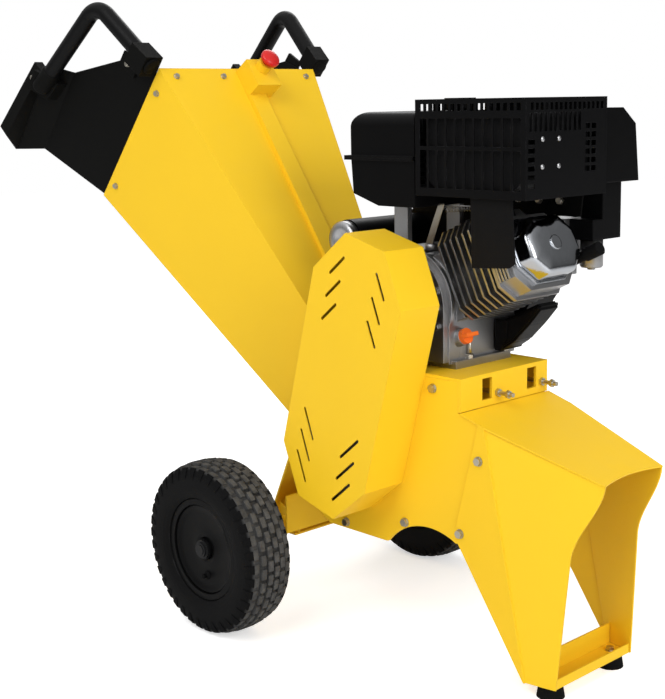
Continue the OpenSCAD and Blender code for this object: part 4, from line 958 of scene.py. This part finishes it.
@dataclass
class Undercarriage(Assembly):
    """Axle bracket, wheels, chute leg and feet.

    Args:
        axle_height: height of the axle above the floor.
        wheel_y: distance of a wheel's middle plane from the machine's middle.
        rim_r: radius of the disc that fills the rim.
        hub_r: radius of the disc's hole for the hub.
        hub_lip: width and height of the lip round that hole.
        disc_out: distance of the disc's face outwards from the wheel's middle plane.
        disc_t: thickness of the disc's sheet.
        dish: share of the rim's radius and height of each step of the disc's face, from the rim inwards.
        valve: radius and height of each step of the tyre's valve, from its foot to its cap.
        valve_reach: distance of the valve from the axle.
        valve_angle: its angle round the axle, in radians.
        tyre_half: half width of the tyre.
        tyre_mid_r: radius at which the tyre is widest.
        tyre_span: how far its section reaches inwards and outwards from there.
        tyre_round: the two powers that round its section.
        lug_count: lugs on one shoulder of a tyre.
        lug_steps: radius, half width and rise of each section of a lug, from its inner end.
        lug_root: depth of the lugs' feet in the sidewall.
        panel_x: place of the bracket's front panel along the machine.
        panel_half: half its width.
        panel_low: height of its lower edge.
        panel_h: its height.
        panel_t: its thickness.
        panel_edge: rounding of its edges.
    """

    title: str = "undercarriage"
    finishes: dict[str, Finish] = field(default_factory=lambda: {
        "axle_bracket": YELLOW, "axle": BLACK_OXIDE, "wheel_retainers": BLACK_OXIDE, "tyre_left": TYRE,
        "tyre_right": TYRE, "rim_left": RIM_PAINT, "rim_right": RIM_PAINT, "discharge_chute": YELLOW,
        "foot_bar": YELLOW, "rubber_feet": RUBBER})
    axle_height: float = 0.165
    wheel_y: float = 0.2905
    rim_r: float = 0.0855
    hub_r: float = 0.0205
    hub_lip: float = 0.001
    disc_out: float = 0.0295
    disc_t: float = 0.0025
    dish: tuple[Pair, ...] = (
        (1.0, 0.006), (0.955, 0.006), (0.90, 0.0025), (0.80, 0.0015), (0.55, 0.0), (0.40, 0.0), (0.34, 0.001))
    valve: tuple[Pair, ...] = (
        (0.0085, 0.0), (0.0085, 0.0015), (0.006, 0.003), (0.0042, 0.004), (0.0036, 0.007), (0.0042, 0.0075),
        (0.0042, 0.0125), (0.0025, 0.0135))
    valve_reach: float = 0.052
    valve_angle: float = math.radians(-86.0)
    tyre_half: float = 0.048
    tyre_mid_r: float = 0.1275
    tyre_span: float = 0.0455
    tyre_round: Pair = (2.6, 0.4)
    lug_count: int = 38
    lug_steps: tuple[Point, ...] = (
        (0.136, 0.0028, 0.0002), (0.141, 0.0042, 0.0013), (0.150, 0.0066, 0.0022), (0.1575, 0.0080, 0.0026))
    lug_root: float = 0.003
    panel_x: float = 0.0305
    panel_half: float = 0.146
    panel_low: float = 0.158
    panel_h: float = 0.077
    panel_t: float = 0.003
    panel_edge: float = 0.001

    def sidewall(self, radius: float) -> float:
        """Gives a tyre's half width at a radius, as the frame's tyre has it.

        Args:
            radius: distance from the axle.

        Returns:
            The half width.
        """
        off = abs(radius - self.tyre_mid_r) / self.tyre_span
        power, root = self.tyre_round
        return self.tyre_half * (1 - off ** power) ** root

    def build(self) -> None:
        """Makes the discs, valves and shoulder lugs of the wheels, and the bracket's front panel."""
        for side, body in ((-1, "wheel_left"), (1, "wheel_right")):
            self._disc_and_valve(side, body)
            self._lugs(side, body)
        half, height = self.panel_half, self.panel_h
        outline = [(-half, 0.0), (half, 0.0), (half, height), (-half, height)]
        panel = KIT.stamped("bracket_front_panel", outline, self.panel_t, self.panel_edge)
        foot = (self.panel_x, 0.0, self.panel_low)
        Mount("machine", "yellow_paint", foot, TO_CHUTE).place(panel, YELLOW)

    def _disc_and_valve(self, side: int, body: str) -> None:
        """Makes the dished disc in a wheel's rim and the tyre valve that comes through it.

        Args:
            side: -1 for the belt side, 1 for the far side.
            body: the wheel's body.
        """
        hub, lip, out = self.hub_r, self.hub_lip, side * (self.wheel_y + self.disc_out)
        face = [(share * self.rim_r, height) for share, height in self.dish]
        face += [(hub + lip, lip), (hub, 0.0)]
        back = [(radius, height - self.disc_t) for radius, height in reversed(face)]
        disc = KIT.turned(f"{body}_disc", face + back, ring=True)
        Mount(body, "rim_paint", (0.0, out, self.axle_height), sideways(side)).place(disc, RIM_PAINT)
        reach, angle = self.valve_reach, self.valve_angle
        at = (reach * math.cos(angle), out, self.axle_height + reach * math.sin(angle))
        stem = KIT.turned(f"{body}_valve", list(self.valve))
        Mount(body, "rubber", at, sideways(side)).place(stem, RUBBER)

    def _lugs(self, side: int, body: str) -> None:
        """Makes the shoulder lugs on both faces of a tyre.

        Args:
            side: -1 for the belt side, 1 for the far side.
            body: the wheel's body.
        """
        middle = (0.0, side * self.wheel_y, self.axle_height)
        sections = [(radius, half, self.sidewall(radius) - self.lug_root, self.sidewall(radius) + rise)
                    for radius, half, rise in self.lug_steps]
        for label, facing in (("outer", side), ("inner", -side)):
            lugs = KIT.lugs(f"{body}_{label}_lugs", self.lug_count, sections)
            Mount(body, "rubber", middle, sideways(facing)).place(lugs, RUBBER)


@dataclass
class Engine(Assembly):
    """Engine castings, tank, exhaust, intake and controls.

    Places are in the engine's own axes: X towards the cylinder, Y from the engine's middle, Z up from the
    deck.

    Args:
        origin: the engine's origin in the frame.
        sheet_t: thickness of the governor's arm and of the air cleaner's bracket.
        sheet_edge: rounding of their edges.
        starter: middle of the starter motor's near end.
        starter_r: radius of the starter motor.
        cap_fit: gap between the motor and its end cap.
        cap_wall: distance of the cap's outside from the motor.
        cap_lap: length of the cap along the motor.
        cap_crown: height of the cap's raised ring over the motor's end.
        cap_recess: height of the recess inside that ring.
        governor: foot of the governor's boss.
        boss: radius and height of each step of the boss.
        arm_at: shift of the arm's pivot from the boss's foot, across and up.
        arm_foot: half width of the arm at its lower end, and that end's distance below the pivot.
        arm_tip: half width of the arm at its upper end.
        arm_lean: how far the arm leans towards the cylinder.
        arm_rise: height of its upper end above the pivot.
        hook_y: shift of the spring's and the link's ends across the arm.
        coil_r: radius of the governor spring's turns.
        coil_turns: turns of the spring.
        coil_steps: points of the spring's path in one turn.
        spring_len: length of the spring.
        spring_wire: radius of its wire.
        spring_drop: distance of its end below the arm's upper end.
        spring_way: direction in which it leaves the arm.
        link_len: length of the governor's link.
        link_wire: radius of its rod.
        link_drop: distance of its end below the arm's upper end.
        link_way: direction in which it leaves the arm.
        fan_face: near face of the fan housing.
        bracket_x: left and right end of the sheet behind the cylinder.
        bracket_z: its lower and upper edge.
        bracket_taper: how much less its right end reaches out at its foot.
        carb_corner: X and Z of the cut-out over the carburettor.
        carb_slant: how far the cut-out's side slants.
        tank_low: height of the tank's underside.
        tank_step: X of the step beside the tank, at its foot and at its top.
        bracket_bolts: X of the sheet's bolts.
        bracket_bolt_z: their height.
        bracket_bolt_r: their thread radius.
        case_x: right face of the crankcase.
        scoop_w: width of the blower's scoop under the cylinder.
        scoop_z: lower and upper end of the scoop where it meets the case.
        scoop_belly: X and Z of the points of its underside.
        scoop_tip: X and Z of its tip.
        scoop_lip: how far the tip's corner is cut back, along and down.
        scoop_edge: rounding of its edges.
        bowl_at: X and Y of the carburettor's bowl.
        bowl_z: its lower and upper end.
        bowl_r: radius of its flange.
        bowl_screw: length of the screw under it.
        bowl_round: rounding of its foot.
        crank_h: height of the crankshaft.
        tilt: slope of the cylinder, in radians.
        rocker_l: distance of the valve cover's foot from the crankshaft.
        rocker_size: width and height of the cover, and what its corners are cut back.
        rocker_corner: rounding of its corners.
        rocker_steps: inset and height of each loop of its shell, from the foot to the crown.
        foot_x: place of the foot's studs along the engine.
        foot_top: top of the foot.
        stud_places: places of the studs across the engine.
        stud_r: thread radius of the studs.
        stud_h: height of the studs above the foot.
        guard_end: end face of the muffler's guard.
        rivet_r: radius of the rivets' heads.
        rivet_root: depth of the heads' rims in the guard.
        rivet_step: degrees between two points of a head's profile.
        rivet_y: places of the rivets across the engine.
        rivet_z: heights of the rivets.
    """

    title: str = "engine"
    finishes: dict[str, Finish] = field(default_factory=lambda: {
        "crankcase": CAST_ALLOY, "side_cover": CAST_ALLOY, "cylinder_barrel": FIN_ALLOY,
        "cylinder_head": FIN_ALLOY, "valve_cover": CHROME, "muffler": HOT_STEEL, "muffler_guard": BLACK_WIRE,
        "air_cleaner": BLACK_PLASTIC, "intake_elbow": BLACK_PLASTIC, "carburettor": CAST_ALLOY,
        "tank_upper": BLACK_PLASTIC, "tank_lower": BLACK_PLASTIC, "fan_housing": BLACK_PLASTIC,
        "recoil_cover": BLACK_PLASTIC, "starter_motor": BLACK_WIRE, "spark_plug": RUBBER, "crankshaft": STEEL,
        "flywheel": IRON, "throttle_lever": ZINC, "choke_lever": ZINC, "fuel_tap": RED,
        "fuel_cap": BLACK_PLASTIC, "oil_plug": ORANGE, "recoil_grip": RUBBER, "engine_switch": RED})
    origin: Point = (0.298, 0.014, 0.524)
    sheet_t: float = 0.003
    sheet_edge: float = 0.0008
    starter: Point = (-0.148, -0.108, 0.216)
    starter_r: float = 0.031
    cap_fit: float = 0.0003
    cap_wall: float = 0.003
    cap_lap: float = 0.014
    cap_crown: float = 0.004
    cap_recess: float = 0.0025
    governor: Point = (0.024, -0.052, 0.204)
    boss: tuple[Pair, ...] = (
        (0.011, 0.0), (0.011, 0.010), (0.008, 0.012), (0.005, 0.012), (0.005, 0.020), (0.003, 0.021))
    arm_at: Pair = (-0.004, 0.018)
    arm_foot: Pair = (0.008, 0.006)
    arm_tip: float = 0.007
    arm_lean: float = 0.03
    arm_rise: float = 0.066
    hook_y: float = 0.002
    coil_r: float = 0.0045
    coil_turns: int = 14
    coil_steps: int = 12
    spring_len: float = 0.085
    spring_wire: float = 0.0008
    spring_drop: float = 0.012
    spring_way: Point = (0.3, 1.0, 0.0)
    link_len: float = 0.12
    link_wire: float = 0.0014
    link_drop: float = 0.004
    link_way: Point = (0.9, 1.0, -0.05)
    fan_face: float = 0.0975
    bracket_x: Pair = (-0.160, 0.246)
    bracket_z: Pair = (0.254, 0.318)
    bracket_taper: float = 0.006
    carb_corner: Pair = (0.164, 0.2625)
    carb_slant: float = 0.014
    tank_low: float = 0.283
    tank_step: Pair = (0.048, 0.056)
    bracket_bolts: tuple[float, ...] = (0.104, 0.150, 0.196)
    bracket_bolt_z: float = 0.290
    bracket_bolt_r: float = 0.004
    case_x: float = 0.097
    scoop_w: float = 0.057
    scoop_z: Pair = (0.020, 0.068)
    scoop_belly: tuple[Pair, ...] = ((0.106, 0.018), (0.134, 0.036), (0.170, 0.072))
    scoop_tip: Pair = (0.197, 0.1155)
    scoop_lip: Pair = (0.006, 0.012)
    scoop_edge: float = 0.004
    bowl_at: Pair = (0.239, 0.129)
    bowl_z: Pair = (0.172, 0.2218)
    bowl_r: float = 0.023
    bowl_screw: float = 0.004
    bowl_round: float = 0.003
    crank_h: float = 0.108
    tilt: float = math.radians(25.0)
    rocker_l: float = 0.244
    rocker_size: Point = (0.146, 0.116, 0.034)
    rocker_corner: float = 0.012
    rocker_steps: tuple[Pair, ...] = (
        (0.0045, 0.0055), (0.0050, 0.0100), (0.0062, 0.0305), (0.0080, 0.0345), (0.0105, 0.0372),
        (0.0140, 0.0390), (0.0190, 0.0400), (0.0260, 0.0407), (0.0340, 0.0411))
    foot_x: float = 0.095
    foot_top: float = 0.014
    stud_places: tuple[float, ...] = (-0.031, 0.068)
    stud_r: float = 0.004
    stud_h: float = 0.032
    guard_end: float = 0.292
    rivet_r: float = 0.0045
    rivet_root: float = 0.001
    rivet_step: int = 17
    rivet_y: tuple[float, ...] = (-0.081, -0.038)
    rivet_z: tuple[float, ...] = (0.358, 0.402)

    def at(self, x: float, y: float, z: float) -> Point:
        """Gives a place in the engine's own axes as a place in the frame.

        Args:
            x: towards the cylinder.
            y: from the engine's middle.
            z: up from the deck.

        Returns:
            The point in the frame.
        """
        return (self.origin[0] + x, self.origin[1] + y, self.origin[2] + z)

    def build(self) -> None:
        """Makes the starter's cap, the governor, the covers round the cylinder and the fasteners."""
        self._starter_cap()
        self._governor_arm()
        self._governor_wires()
        self._bracket()
        self._scoop()
        self._bowl()
        self._valve_cover()
        self._foot_studs()
        self._guard_rivets()

    def _starter_cap(self) -> None:
        """Makes the end cap of the starter motor, with a recess in its middle."""
        r, lap, crown, recess = self.starter_r, self.cap_lap, self.cap_crown, self.cap_recess
        wall = r + self.cap_wall
        cap = KIT.turned("starter_end_cap", [
            (r + self.cap_fit, -lap), (wall, -lap), (wall, 0.0), (r, crown), (0.45 * r, crown),
            (0.40 * r, recess), (0.05 * r, recess)])
        Mount("machine", "bright_steel", self.at(*self.starter)).place(cap, STEEL)

    def _governor_arm(self) -> None:
        """Makes the governor's boss and the arm on it."""
        x, y, z = self.governor
        boss = KIT.turned("governor_boss", list(self.boss))
        Mount("machine", "engine_alloy", self.at(x, y, z), UP).place(boss, CAST_ALLOY)
        lean, rise, tip = self.arm_lean, self.arm_rise, self.arm_tip
        half, below = self.arm_foot
        across, up = self.arm_at
        outline = [(-half, -below), (half, -below), (tip + lean, rise), (lean - tip, rise)]
        arm = KIT.stamped("governor_arm", outline, self.sheet_t, self.sheet_edge)
        Mount("machine", "zinc_steel", self.at(x, y + across, z + up)).place(arm, ZINC)

    def _governor_wires(self) -> None:
        """Makes the spring and the link that hook into the governor's arm."""
        x, y, z = self.governor
        hook_x, hook_y, tip_z = x + self.arm_lean, y + self.hook_y, z + self.arm_at[1] + self.arm_rise
        steps = self.coil_turns * self.coil_steps
        angles = [2 * math.pi * k / self.coil_steps for k in range(steps + 1)]
        coil = [(self.coil_r * math.cos(a), self.coil_r * math.sin(a), self.spring_len * k / steps)
                for k, a in enumerate(angles)]
        spring = KIT.wire("governor_spring", coil, self.spring_wire)
        spring_end = self.at(hook_x, hook_y, tip_z - self.spring_drop)
        Mount("machine", "bright_steel", spring_end, self.spring_way).place(spring, STEEL)
        link = KIT.wire("governor_link", [(0.0, 0.0, 0.0), (0.0, 0.0, self.link_len)], self.link_wire)
        link_end = self.at(hook_x, hook_y, tip_z - self.link_drop)
        Mount("machine", "bright_steel", link_end, self.link_way).place(link, STEEL)

    def _bracket(self) -> None:
        """Makes the sheet behind the cylinder that carries the air cleaner, and its bolts."""
        left, right = self.bracket_x
        low, top = self.bracket_z
        carb_left, carb_top = self.carb_corner
        step_low, step_top = self.tank_step
        outline = [(left, low), (carb_left - self.carb_slant, low), (carb_left, carb_top),
                   (right - self.bracket_taper, carb_top), (right, top), (step_top, top),
                   (step_low, self.tank_low), (left, self.tank_low)]
        bracket = KIT.stamped("air_cleaner_bracket", outline, self.sheet_t, self.sheet_edge)
        Mount("machine", "black_paint", self.at(0.0, self.fan_face, 0.0)).place(bracket, BLACK_SHEET)
        near_face = self.fan_face - self.sheet_t
        for k, x in enumerate(self.bracket_bolts):
            bolt = KIT.hex_bolt(f"bracket_bolt_{k}", self.bracket_bolt_r)
            Mount("machine", "zinc_steel", self.at(x, near_face, self.bracket_bolt_z)).place(bolt, ZINC)

    def _scoop(self) -> None:
        """Makes the blower's scoop under the cylinder."""
        low, high = self.scoop_z
        tip_x, tip_z = self.scoop_tip
        cut, lip = self.scoop_lip
        outline = [(self.case_x, low), *self.scoop_belly, (tip_x, tip_z - lip),
                   (tip_x - cut, tip_z - cut / 2), (self.case_x, high)]
        scoop = KIT.stamped("blower_scoop", outline, self.scoop_w, self.scoop_edge)
        Mount("machine", "black_plastic", self.at(0.0, self.fan_face, 0.0)).place(scoop, BLACK_PLASTIC)

    def _bowl(self) -> None:
        """Makes the carburettor's float bowl, with a flange half way up and a screw under it."""
        base, rim = self.bowl_z
        r, deep = self.bowl_r, rim - base
        screw, wall, neck = 0.3 * r, 0.88 * r, 0.86 * r
        flange_low, flange_top = 0.5 * deep, 0.62 * deep
        bowl = KIT.turned("carburettor_bowl", [
            (screw, -self.bowl_screw), (screw, 0.0), (0.78 * r, 0.0), (wall, self.bowl_round),
            (wall, flange_low), (r, flange_low), (r, flange_top), (neck, flange_top), (neck, deep)])
        Mount("machine", "engine_alloy", self.at(*self.bowl_at, base), UP).place(bowl, CAST_ALLOY)

    def _valve_cover(self) -> None:
        """Makes the pressed shell over the valve cover, square to the cylinder."""
        loops = list(self.rocker_steps)
        shell = KIT.pressed("valve_cover_shell", self.rocker_size, self.rocker_corner, loops)
        along = (math.cos(self.tilt), 0.0, math.sin(self.tilt))
        foot = self.at(self.rocker_l * along[0], 0.0, self.crank_h + self.rocker_l * along[2])
        Mount("machine", "bright_steel", foot, along).place(shell, CHROME)

    def _foot_studs(self) -> None:
        """Makes the studs and nuts on the engine's foot."""
        r, height = self.stud_r, self.stud_h
        for k, across in enumerate(self.stud_places):
            stud = KIT.turned(f"foot_stud_{k}", [(r, 0.0), (r, height), (0.7 * r, height + 0.3 * r)])
            nut = KIT.hex_nut(f"foot_nut_{k}", r)
            mount = Mount("machine", "zinc_steel", self.at(self.foot_x, across, self.foot_top), UP)
            for piece in (stud, nut):
                mount.place(piece, ZINC)

    def _guard_rivets(self) -> None:
        """Makes the rivets on the end of the muffler's guard."""
        head = KIT.dome(self.rivet_r, 0.0, self.rivet_r / 2, self.rivet_step)
        spots = [(y, z) for y in self.rivet_y for z in self.rivet_z]
        for k, (y, z) in enumerate(spots):
            rivet = KIT.turned(f"guard_rivet_{k}", [(self.rivet_r, -self.rivet_root), *head])
            Mount("machine", "bright_steel", self.at(self.guard_end, y, z), TO_CHUTE).place(rivet, STEEL)


@dataclass(frozen=True)
class PhotoCamera:
    """Camera at the photograph's place.

    Args:
        place: camera position.
        azimuth: turn from looking along +Y, in degrees.
        pitch: tilt below the horizon, in degrees.
        roll: turn about the view axis, in degrees.
        focal_px: focal length in pixels of the photograph.
        centre_px: offset of the principal point from the image's middle, right and down, in pixels.
        long_side_px: the photograph's longer side.
        sensor: width of the camera's sensor, in millimetres.
    """

    place: Point = (1.88507, -1.74146, 0.98695)
    azimuth: float = 46.71
    pitch: float = 9.84
    roll: float = -1.03
    focal_px: float = 1299.03
    centre_px: Pair = (6.07, -20.15)
    long_side_px: float = 699.0
    sensor: float = 36.0

    def build(self) -> None:
        """Makes the camera and hands it to the scene."""
        turn, dip, tip = (math.radians(a) for a in (self.azimuth, self.pitch, self.roll))
        ahead = Vector((-math.sin(turn) * math.cos(dip), math.cos(turn) * math.cos(dip), -math.sin(dip)))
        level = Vector((math.cos(turn), math.sin(turn), 0.0))
        upright = level.cross(ahead)
        right = level * math.cos(tip) + upright * math.sin(tip)
        up = upright * math.cos(tip) - level * math.sin(tip)
        data = bpy.data.cameras.new("photo_camera")
        data.sensor_width = self.sensor
        data.lens = self.focal_px * self.sensor / self.long_side_px
        data.shift_x = -self.centre_px[0] / self.long_side_px
        data.shift_y = self.centre_px[1] / self.long_side_px
        camera = bpy.data.objects.new("photo_camera", data)
        bpy.context.scene.collection.objects.link(camera)
        basis = Matrix((right, up, -ahead)).transposed().to_4x4()
        camera.matrix_world = Matrix.Translation(Vector(self.place)) @ basis
        bpy.context.scene.camera = camera
        LOG.info("camera: lens %.1f mm", data.lens)


@dataclass(frozen=True)
class Lamp:
    """A soft square lamp.

    Args:
        name: object name.
        place: lamp position.
        aim: point it looks at.
        size: side of the lamp.
        power: watts.
    """

    name: str
    place: Point
    aim: Point
    size: float
    power: float

    def build(self) -> None:
        """Adds the lamp to the scene."""
        data = bpy.data.lights.new(self.name, "AREA")
        data.shape = "SQUARE"
        data.size = self.size
        data.energy = self.power
        lamp = bpy.data.objects.new(self.name, data)
        bpy.context.scene.collection.objects.link(lamp)
        lamp.location = self.place
        lamp.rotation_euler = (Vector(self.aim) - Vector(self.place)).to_track_quat("-Z", "Y").to_euler()
        LOG.info("lamp: %s", self.name)


def seen_by_eye(nodes: Nodes) -> bpy.types.NodeSocket:
    """Says whether a ray comes straight from the camera or through a clear material.

    Args:
        nodes: helper of the tree that asks.

    Returns:
        A socket with 1 for such rays and 0 for others.
    """
    path = nodes.add("ShaderNodeLightPath").outputs
    return nodes.math("MAXIMUM", path["Is Camera Ray"], path["Is Transmission Ray"])


@dataclass
class Studio:
    """Pale floor, sky and lamps.

    Args:
        sky_strength: world strength for light that falls on the object.
        floor_size: side of the floor.
        floor_color: floor albedo.
        floor_glow: plain white that the camera sees on top of the floor's own light.
        mirror_low: brightness of the sky near the horizon, as reflections see it.
        mirror_full: rise of the direction at which that sky is at full brightness.
        mirror_far: share of that brightness that is left behind the machine.
        mirror_back: how far back a direction points where it starts to darken, and where it is darkest.
        lamps: the studio's lamps.
    """

    sky_strength: float = 0.52
    floor_size: float = 24.0
    floor_color: Color = (0.93, 0.93, 0.93)
    floor_glow: float = 0.52
    mirror_low: float = 0.22
    mirror_full: float = 0.75
    mirror_far: float = 0.25
    mirror_back: Pair = (0.2, 0.8)
    lamps: tuple[Lamp, ...] = (
        Lamp("key_lamp", (1.1, -3.4, 3.4), (0.1, 0.0, 0.5), 2.6, 92.0),
        Lamp("side_lamp", (3.8, -0.6, 1.8), (0.3, 0.0, 0.5), 2.2, 64.0),
        Lamp("back_lamp", (-2.2, 2.6, 3.2), (0.0, 0.0, 0.6), 2.0, 40.0),
    )

    def build(self) -> None:
        """Makes floor, world and lamps."""
        self._floor()
        self._world()
        for lamp in self.lamps:
            lamp.build()
        bpy.context.scene.view_settings.view_transform = "Standard"

    def _floor(self) -> None:
        """Adds a pale floor that keeps a soft shadow and looks white to the camera."""
        half = self.floor_size / 2
        mesh = bpy.data.meshes.new("floor")
        corners = [(-half, -half, 0), (half, -half, 0), (half, half, 0), (-half, half, 0)]
        mesh.from_pydata(corners, [], [(0, 1, 2, 3)])
        floor = bpy.data.objects.new("floor", mesh)
        bpy.context.scene.collection.objects.link(floor)
        material = bpy.data.materials.new("pale_floor")
        material.use_nodes = True
        material.node_tree.nodes.clear()
        n = Nodes(material.node_tree)
        plain = n.add("ShaderNodeBsdfDiffuse", Color=(*self.floor_color, 1.0))
        strength = n.math("MULTIPLY", seen_by_eye(n), self.floor_glow)
        glow = n.add("ShaderNodeEmission", Color=WHITE, Strength=strength)
        both = n.add("ShaderNodeAddShader")
        n.link(plain.outputs[0], both.inputs[0])
        n.link(glow.outputs[0], both.inputs[1])
        n.add("ShaderNodeOutputMaterial", Surface=both.outputs[0])
        mesh.materials.append(material)
        LOG.info("studio: floor")

    def _world(self) -> None:
        """Makes a white surround for the camera, an even one for light and a graded one for reflections."""
        world = bpy.data.worlds.new("studio_world")
        bpy.context.scene.world = world
        world.use_nodes = True
        world.node_tree.nodes.clear()
        n = Nodes(world.node_tree)
        direction = n.add("ShaderNodeTexCoord").outputs["Generated"]
        split = n.add("ShaderNodeSeparateXYZ", Vector=direction).outputs
        rising = n.span(split["Z"], 0.0, self.mirror_full, self.mirror_low, 1.0)
        behind = n.span(split["Y"], *self.mirror_back, 1.0, self.mirror_far)
        graded = n.math("MULTIPLY", rising, behind)
        mirrored = n.add("ShaderNodeLightPath").outputs["Is Glossy Ray"]
        change = n.math("MULTIPLY", n.math("SUBTRACT", graded, self.sky_strength), mirrored)
        strength = n.math("MAXIMUM", seen_by_eye(n), n.math("ADD", change, self.sky_strength))
        back = n.add("ShaderNodeBackground", Color=WHITE, Strength=strength)
        n.add("ShaderNodeOutputWorld", Surface=back.outputs[0])
        LOG.info("studio: sky")


def main() -> None:
    """Builds and dresses the machine, then sets up the picture."""
    logging.basicConfig(level=logging.INFO, format="%(name)s %(message)s")
    for assembly in (FeedHopper(), DrumHousing(), Undercarriage(), Engine()):
        assembly.build()
        assembly.dress()
    Studio().build()
    PhotoCamera().build()


if __name__ == "__main__":
    main()
